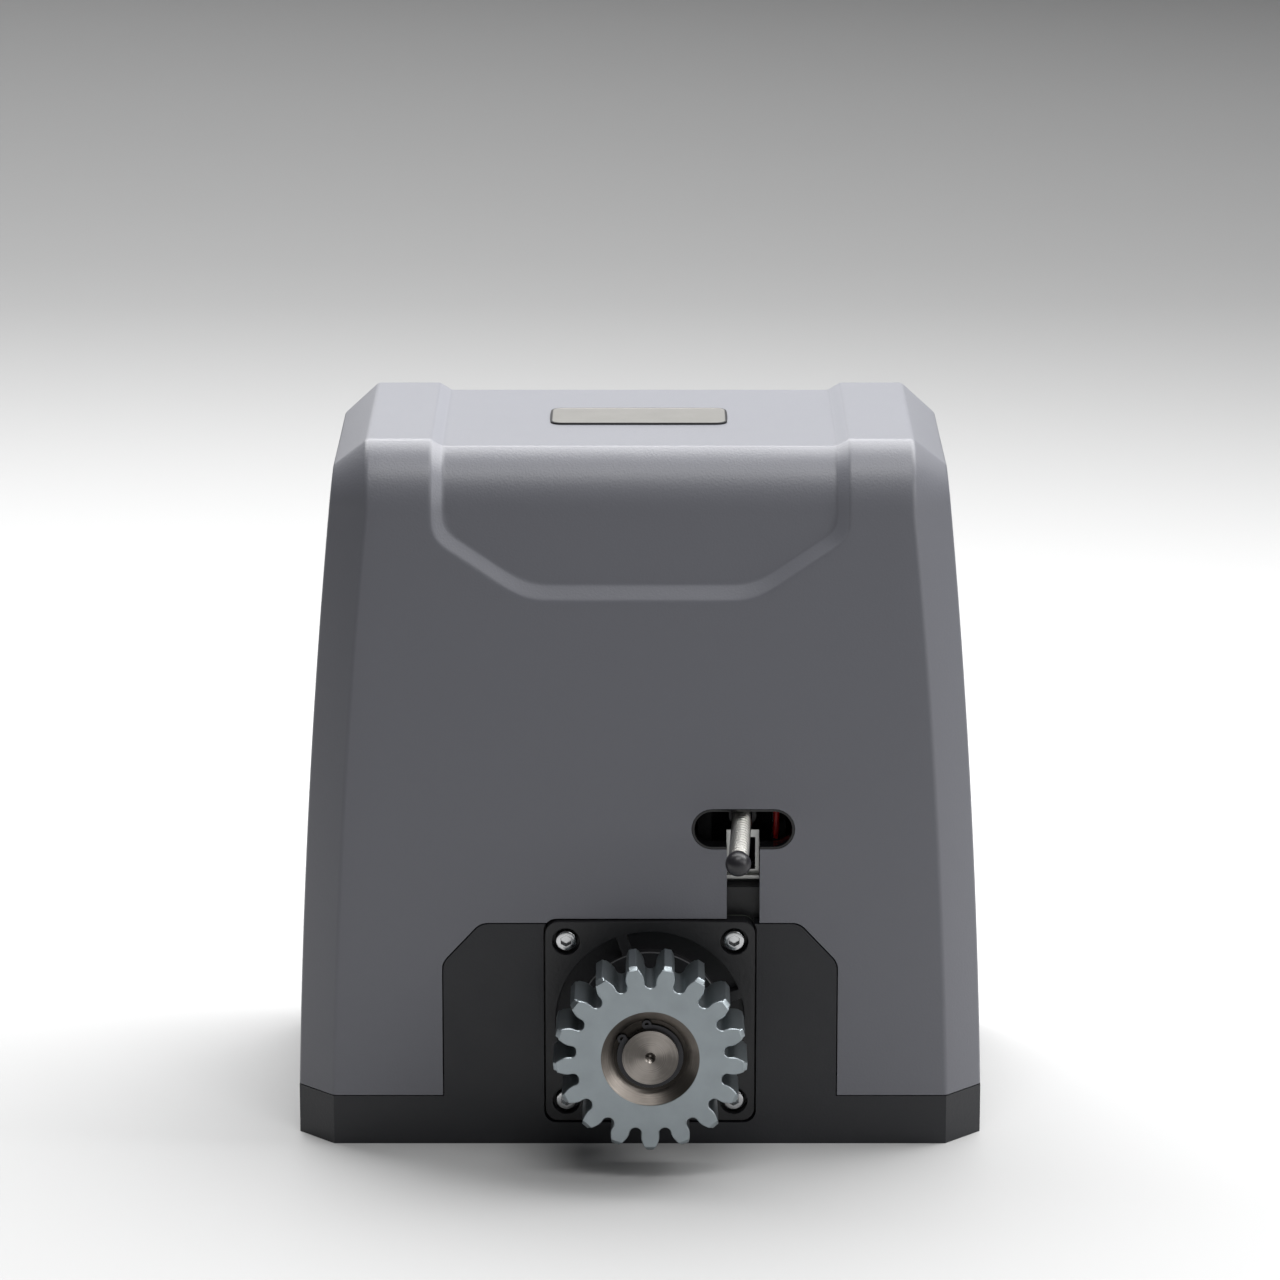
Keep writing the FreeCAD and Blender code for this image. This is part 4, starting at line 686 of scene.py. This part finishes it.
def make_hood():
    """The skin given its wall inwards, then cut for the shield, the lever, the window, the slot below it, the
    flange and the flank screws with their sunk heads."""
    skin = hood_skin()
    shape = scratch("hood", skin.reshape(-1, 3), grid_faces(*skin.shape[:2]))
    weld = shape.modifiers.new("weld", "WELD")
    weld.merge_threshold = 2e-5
    bake(shape)
    thick = shape.modifiers.new("wall", "SOLIDIFY")
    thick.thickness = HOOD_WALL * MM
    thick.offset = -1.0
    thick.use_even_offset = False
    bake(shape)
    shield = [(-SHIELD_HALF, 0, 0), (SHIELD_HALF, 0, 0)]
    shield += [(side * across, high, OPENING_ROUND) for side, across, high in (
        (1, SHIELD_HALF, SHIELD_SHOULDER), (1, SHIELD_TOP_HALF, SHIELD_TOP),
        (-1, SHIELD_TOP_HALF, SHIELD_TOP), (-1, SHIELD_HALF, SHIELD_SHOULDER))]
    lever = four_corners(LEVER_LEFT, LEVER_RIGHT, 0, LEVER_TOP, 0, OPENING_ROUND)
    x, z = LIMIT
    end_round = WINDOW_RISE - 0.01
    window = four_corners(x - WINDOW_LEFT, x + WINDOW_RIGHT, z - WINDOW_RISE, z + WINDOW_RISE,
                          end_round, end_round)
    bracket = four_corners(x - BRACKET_HALF, x + BRACKET_HALF, BRACKET_LOW, BRACKET_HIGH)
    x, z = SHAFT
    flange = four_corners(x - FLANGE_ROOM, x + FLANGE_ROOM, z - FLANGE_ROOM, z + FLANGE_ROOM, 5, 5)
    for corners, near, far in ((shield, -95, -60), (lever, 60, 95), (window, -95, -65), (bracket, -95, -65),
                               (flange, -95, -70)):
        carve(shape, *wall_cutter(corners, near, far))
    seat = float(span(BODY_WIDTH / 2, FLANK_Z)) - 2.0
    profile = [(2.1, seat - 15), (2.1, seat), (4.05, seat), (4.05, seat + 10)]
    for side in (-1, 1):
        for y in (-FLANK_Y, FLANK_Y):
            rings = turned_rings(profile, 32, (y, FLANK_Z))
            carve(shape, *tube(rings[..., [1, 0, 2]] * [side, 1, 1]))
    show(shape, "hood_plastic", "motor_body", ["cover_shell"], 28.0)


# Pinion and screws
def gear_outline():
    """Outline of the toothed wheel as radii and angles.

    Each tooth has a flat tip, flanks that bow out and then run into a round hollow at the root. A hollow is
    an arc about a point on the gap's middle line. Half a gap is mirrored, and the gap is repeated round the
    wheel."""
    pitch = 2 * np.pi / TEETH
    middle, small = 31.3, 2.3
    turn = np.linspace(0, math.radians(86), 9)
    hollow = np.stack([middle - small * np.cos(turn), small * np.sin(turn)], -1)
    flank = [(32.3, 2.38), (33.2, 2.6), (34.0, 2.92), (34.8, 3.34), (35.5, 3.76), (36.2, 4.22), (36.8, 4.64),
             (37.3, 5.02), (37.65, 5.32), (37.9, 5.52), (TIP_RADIUS, 5.72)]
    gap = np.concatenate([hollow, flank])
    half = np.stack([gap[:, 0], gap[:, 1] / gap[:, 0] - pitch / 2], -1)
    stations = np.concatenate([half, half[:0:-1] * [1, -1]])
    angle = stations[:, 1] + np.arange(TEETH)[:, None] * pitch - np.pi / 2
    return np.tile(stations[:, 0], TEETH), angle.ravel()


def make_pinion():
    """Rings of the gear outline from the turned hole over the chamfered teeth to the hub at the back. At a
    chamfer the outline is held to a smaller radius, and at the two faces it is set in by a hair."""
    radius, angle = gear_outline()
    face, back, hub = PINION_FACE, PINION_FACE + PINION_WIDTH, -90.0

    def ring(limit, y, inward=0.0):
        spot = round_axis(SHAFT, np.minimum(radius, limit), y, angle)
        run = np.roll(spot, -1, axis=0) - np.roll(spot, 1, axis=0)
        return spot + unit(np.stack([-run[:, 2], 0 * angle, run[:, 0]], -1)) * inward

    rings = [
        ring(SHAFT_HOLE, face + 4.5), ring(14.5, face + 4.5), ring(14.9, face + 4.3), ring(19.0, face + 0.2),
        ring(19.4, face), ring(36.6, face, 0.3), ring(36.75, face + 0.3), ring(37.95, face + 1.5),
        ring(TIP_RADIUS, face + 1.6), ring(TIP_RADIUS, back - 1.6), ring(37.95, back - 1.5),
        ring(36.75, back - 0.3), ring(36.6, back, 0.3), ring(20.6, back), ring(20.0, back + 0.6),
        ring(20.0, hub - 0.3), ring(19.7, hub), ring(SHAFT_HOLE, hub), ring(SHAFT_HOLE, face + 4.5),
    ]
    piece("gear", *tube(rings, False), "pinion_zinc", "output", ["pinion"], 24.0)


def socket_screw(centre, front, head, height, shank, length, socket):
    """Rings of a screw along Y: shank, domed head whose top is at front, and a hexagon socket in it, whose
    radius at an angle is its apothem over the cosine of the angle to the nearest side's middle."""
    rings = turned_rings([(shank, front + length), (shank, front + height), (head, front + height),
                          (head, front + 0.75), (head - 0.09, front + 0.4), (head - 0.35, front + 0.14),
                          (head - 0.75, front)], SCREW_POINTS, centre)
    angle = np.linspace(0, 2 * np.pi, SCREW_POINTS, endpoint=False)
    hexagon = socket * math.cos(math.pi / 6) / np.cos((angle + math.pi / 6) % (math.pi / 3) - math.pi / 6)
    chamfer = 0.12
    radius = np.stack([hexagon + chamfer, hexagon, hexagon])
    depth = front + np.array([[0.0], [chamfer], [socket]])
    return np.concatenate([rings, round_axis(centre, radius, depth, angle)])


def gathered(forms):
    """Points and faces of several tubes as one mesh."""
    points, faces = [], []
    for rings in forms:
        spots, quads = tube(rings)
        base = sum(len(p) for p in points)
        faces += [[i + base for i in quad] for quad in quads]
        points.append(spots)
    return np.concatenate(points), faces


def make_screws():
    """The flange's four socket screws and the hood's two on each flank."""
    corners = [(x, z) for x in (-FLANGE_SCREW, FLANGE_SCREW) for z in (-FLANGE_SCREW, FLANGE_SCREW)]
    forms = [socket_screw((SHAFT[0] + x, SHAFT[1] + z), front=FRONT + 1.6, head=4.25, height=4.0,
                          shank=2.5, length=21.4, socket=2.3) for x, z in corners]
    piece("socket_screws", *gathered(forms), "bright_screw", "motor_body", ["flange_screws"])
    wall = float(span(BODY_WIDTH / 2, FLANK_Z))
    forms = []
    for side in (-1, 1):
        for y in (-FLANK_Y, FLANK_Y):
            form = socket_screw((y, FLANK_Z), front=0.3 - wall, head=3.9, height=1.7,
                                shank=2.0, length=13.7, socket=1.45)
            forms.append(form[..., [1, 0, 2]] * [-side, 1, 1])
    piece("flank_screws", *gathered(forms), "zinc_steel", "motor_body", ["cover_screws"])


# Limit spring and nameplate
def yawed(points):
    """Turns points about the limit spring's root by its small sideways set."""
    x, y, z = points[..., 0] - LIMIT[0], points[..., 1] - LIMIT_ROOT, points[..., 2]
    return np.stack([LIMIT[0] + x * math.cos(LIMIT_YAW) - y * math.sin(LIMIT_YAW),
                     LIMIT_ROOT + x * math.sin(LIMIT_YAW) + y * math.cos(LIMIT_YAW), z], -1)


def make_spring():
    """Open coil: the wire's centre runs on a helix, at an equal step along Y for each degree of turn, and a
    ring of the wire's radius is carried along it."""
    turns, radius, wire = 20, 2.9, 1.1
    share = np.linspace(0, 1, turns * 20 + 1)
    angle = 2 * np.pi * turns * share
    along = LIMIT_ROOT - wire - share * (LIMIT_REACH - 2 * wire)
    outward = np.stack([np.cos(angle), 0 * angle, np.sin(angle)], -1)[:, None]
    centre = radius * outward + np.stack([0 * angle, along, 0 * angle], -1)[:, None]
    around = np.linspace(0, 2 * np.pi, 9, endpoint=False)[:, None]
    rings = centre + wire * (np.cos(around) * outward + np.sin(around) * [0.0, 1.0, 0.0])
    points, faces = tube(yawed(rings + [LIMIT[0], 0, LIMIT[1]]))
    piece("coil_spring", points, faces, "spring_steel", "limit", ["limit_spring"])


def make_tip():
    """Rubber ball with the stem that holds it in the spring: a profile turned about the spring's axis."""
    radius, middle = 5.0, -126.0
    turn = np.linspace(math.radians(35), math.radians(178), 22)
    stem = [(0.05, -110.0), (1.75, -110.0), (1.75, -122.2), (4.2, -122.25), (4.45, -123.2)]
    ball = np.stack([radius * np.sin(turn), middle + radius * np.cos(turn)], -1)
    rings = yawed(turned_rings(np.concatenate([stem, ball]), 48, LIMIT))
    piece("ball_tip", *tube(rings), "rubber", "limit", ["spring_tip"], 40.0)


def make_plate():
    """Blank nameplate: a rounded rectangle whose sides bow out by a share of their half length, less towards
    its corners, with a fine raised rim."""
    half = np.array(PLATE_HALF)
    across, along = PLATE_HALF
    corners = four_corners(PLATE_MIDDLE - across, PLATE_MIDDLE + across, -along, along,
                           PLATE_CORNER, PLATE_CORNER)
    outline = rounded_outline(corners, 10)
    share = np.linspace(0, 1, 6)[:-1, None]
    outline = (outline[:, None] + share * (np.roll(outline, -1, axis=0) - outline)[:, None]).reshape(-1, 2)
    flat = outline - [PLATE_MIDDLE, 0.0]
    flat = flat * (1 + 0.014 * (1 - (flat[:, ::-1] / half[::-1]) ** 2))

    def ring(inset, z):
        spot = flat * (1 - inset / half)
        return np.stack([spot[:, 0] + PLATE_MIDDLE, spot[:, 1], z + 0 * spot[:, 0]], -1)
    rings = [ring(0.0, 278.0), ring(0.0, 278.5), ring(0.25, 278.75), ring(0.8, 278.78), ring(1.1, 278.62),
             ring(1.4, 278.6)]
    piece("plate", *tube(rings), "silver_plate", "motor_body", ["nameplate"], 60.0)


make_hood()
make_pinion()
make_screws()
make_spring()
make_tip()
make_plate()
for node, body, finish, width in (
    ("base_tray", "motor_body", "black_paint", 0.8),
    ("gearbox_housing", "motor_body", "black_casting", 0.5),
    ("output_flange", "motor_body", "flange_black", 0.35),
    ("window_bezel", "motor_body", "gloss_black", 0.3),
    ("limit_bracket", "motor_body", "dull_zinc", 0.15),
    ("output_shaft", "output", "machined_steel", 0.3),
    ("pinion_circlip", "output", "black_steel", 0.15),
    ("release_lever", "lever", "black_steel", 0.6),
    ("lock_cylinder", "lock", "zinc_steel", 0.25),
    ("limit_rocker", "limit", "black_plastic", 0.3),
    ("cable_gland", "motor_body", "rubber", 0.4),
):
    dressed(node, finish, body, width)

# Every other CAD node keeps its mesh and takes its slot's finish
for name, shape in nodes.items():
    shape.data.materials.clear()
    shape.data.materials.append(FINISHES[SLOTS[name]])


# Floor, backdrop, light and camera
def make_stage():
    """Pale sheet that runs up behind the object in a wide quarter arc. Lengths from here on are metres."""
    start, radius, side, top = 1.6, 1.2, 7.0, 4.5
    turn = np.linspace(0.1, math.pi / 2, 16)
    arc = np.stack([start + radius * np.sin(turn), radius - radius * np.cos(turn)], -1)
    profile = np.concatenate([[(-6.0, 0.0), (start, 0.0)], arc, [(start + radius, top)]])
    rows = np.stack([np.insert(profile, 0, x, axis=1) for x in (-side, side)], 1)
    data = bpy.data.meshes.new("backdrop")
    data.from_pydata(rows.reshape(-1, 3).tolist(), [], grid_faces(len(rows), 2))
    data.polygons.foreach_set("use_smooth", [True] * len(data.polygons))
    sheet = bpy.data.objects.new("backdrop", data)
    bpy.context.scene.collection.objects.link(sheet)
    data.materials.append(Finish("backdrop", (0.42, 0.42, 0.42), 0.9).material)


def lamp(name, place, target, size, power):
    """Soft rectangular lamp that the camera doesn't see, turned to its target."""
    data = bpy.data.lights.new(name, "AREA")
    data.shape = "RECTANGLE"
    data.size, data.size_y = size
    data.energy = power
    light = bpy.data.objects.new(name, data)
    light.location = place
    way = np.array(place) - np.array(target)
    light.rotation_euler = (math.atan2(math.hypot(way[0], way[1]), way[2]), 0.0,
                            math.atan2(way[0], -way[1]))
    light.visible_camera = False
    bpy.context.scene.collection.objects.link(light)


def make_lights():
    """Four lamps and a weak one in front, in a dim surround."""
    lamp("overhead", (0.15, 0.5, 1.3), (0.0, 0.0, 0.27), (2.9, 0.95), 76.0)
    lamp("behind", (0.1, 1.9, 0.95), (0.0, 0.0, 0.27), (3.6, 1.3), 11.5)
    lamp("crown", (0.1, -0.75, 1.6), (0.0, -0.08, 0.2), (1.0, 0.35), 9.8)
    lamp("right", (1.7, -0.9, 0.8), (0.0, 0.0, 0.12), (0.9, 1.1), 10.5)
    lamp("front", (1.5, -2.2, 1.8), (0.0, 0.0, 0.2), (1.4, 1.0), 7.6)
    world = bpy.data.worlds.new("surround")
    bpy.context.scene.world = world
    world.use_nodes = True
    world.node_tree.nodes["Background"].inputs["Color"].default_value = (0.9, 0.92, 0.95, 1.0)
    world.node_tree.nodes["Background"].inputs["Strength"].default_value = 0.08


def make_camera():
    """Long lens in front, a little above the object and turned down to it."""
    data = bpy.data.cameras.new("camera")
    data.lens = 156.8
    data.sensor_width = 36.0
    camera = bpy.data.objects.new("camera", data)
    camera.location = (0.0, -2.185, 0.768)
    camera.rotation_euler = (math.radians(75.07), 0.0, 0.0)
    bpy.context.scene.collection.objects.link(camera)
    bpy.context.scene.camera = camera


make_stage()
make_lights()
make_camera()
bpy.context.scene.view_settings.view_transform = "Standard"
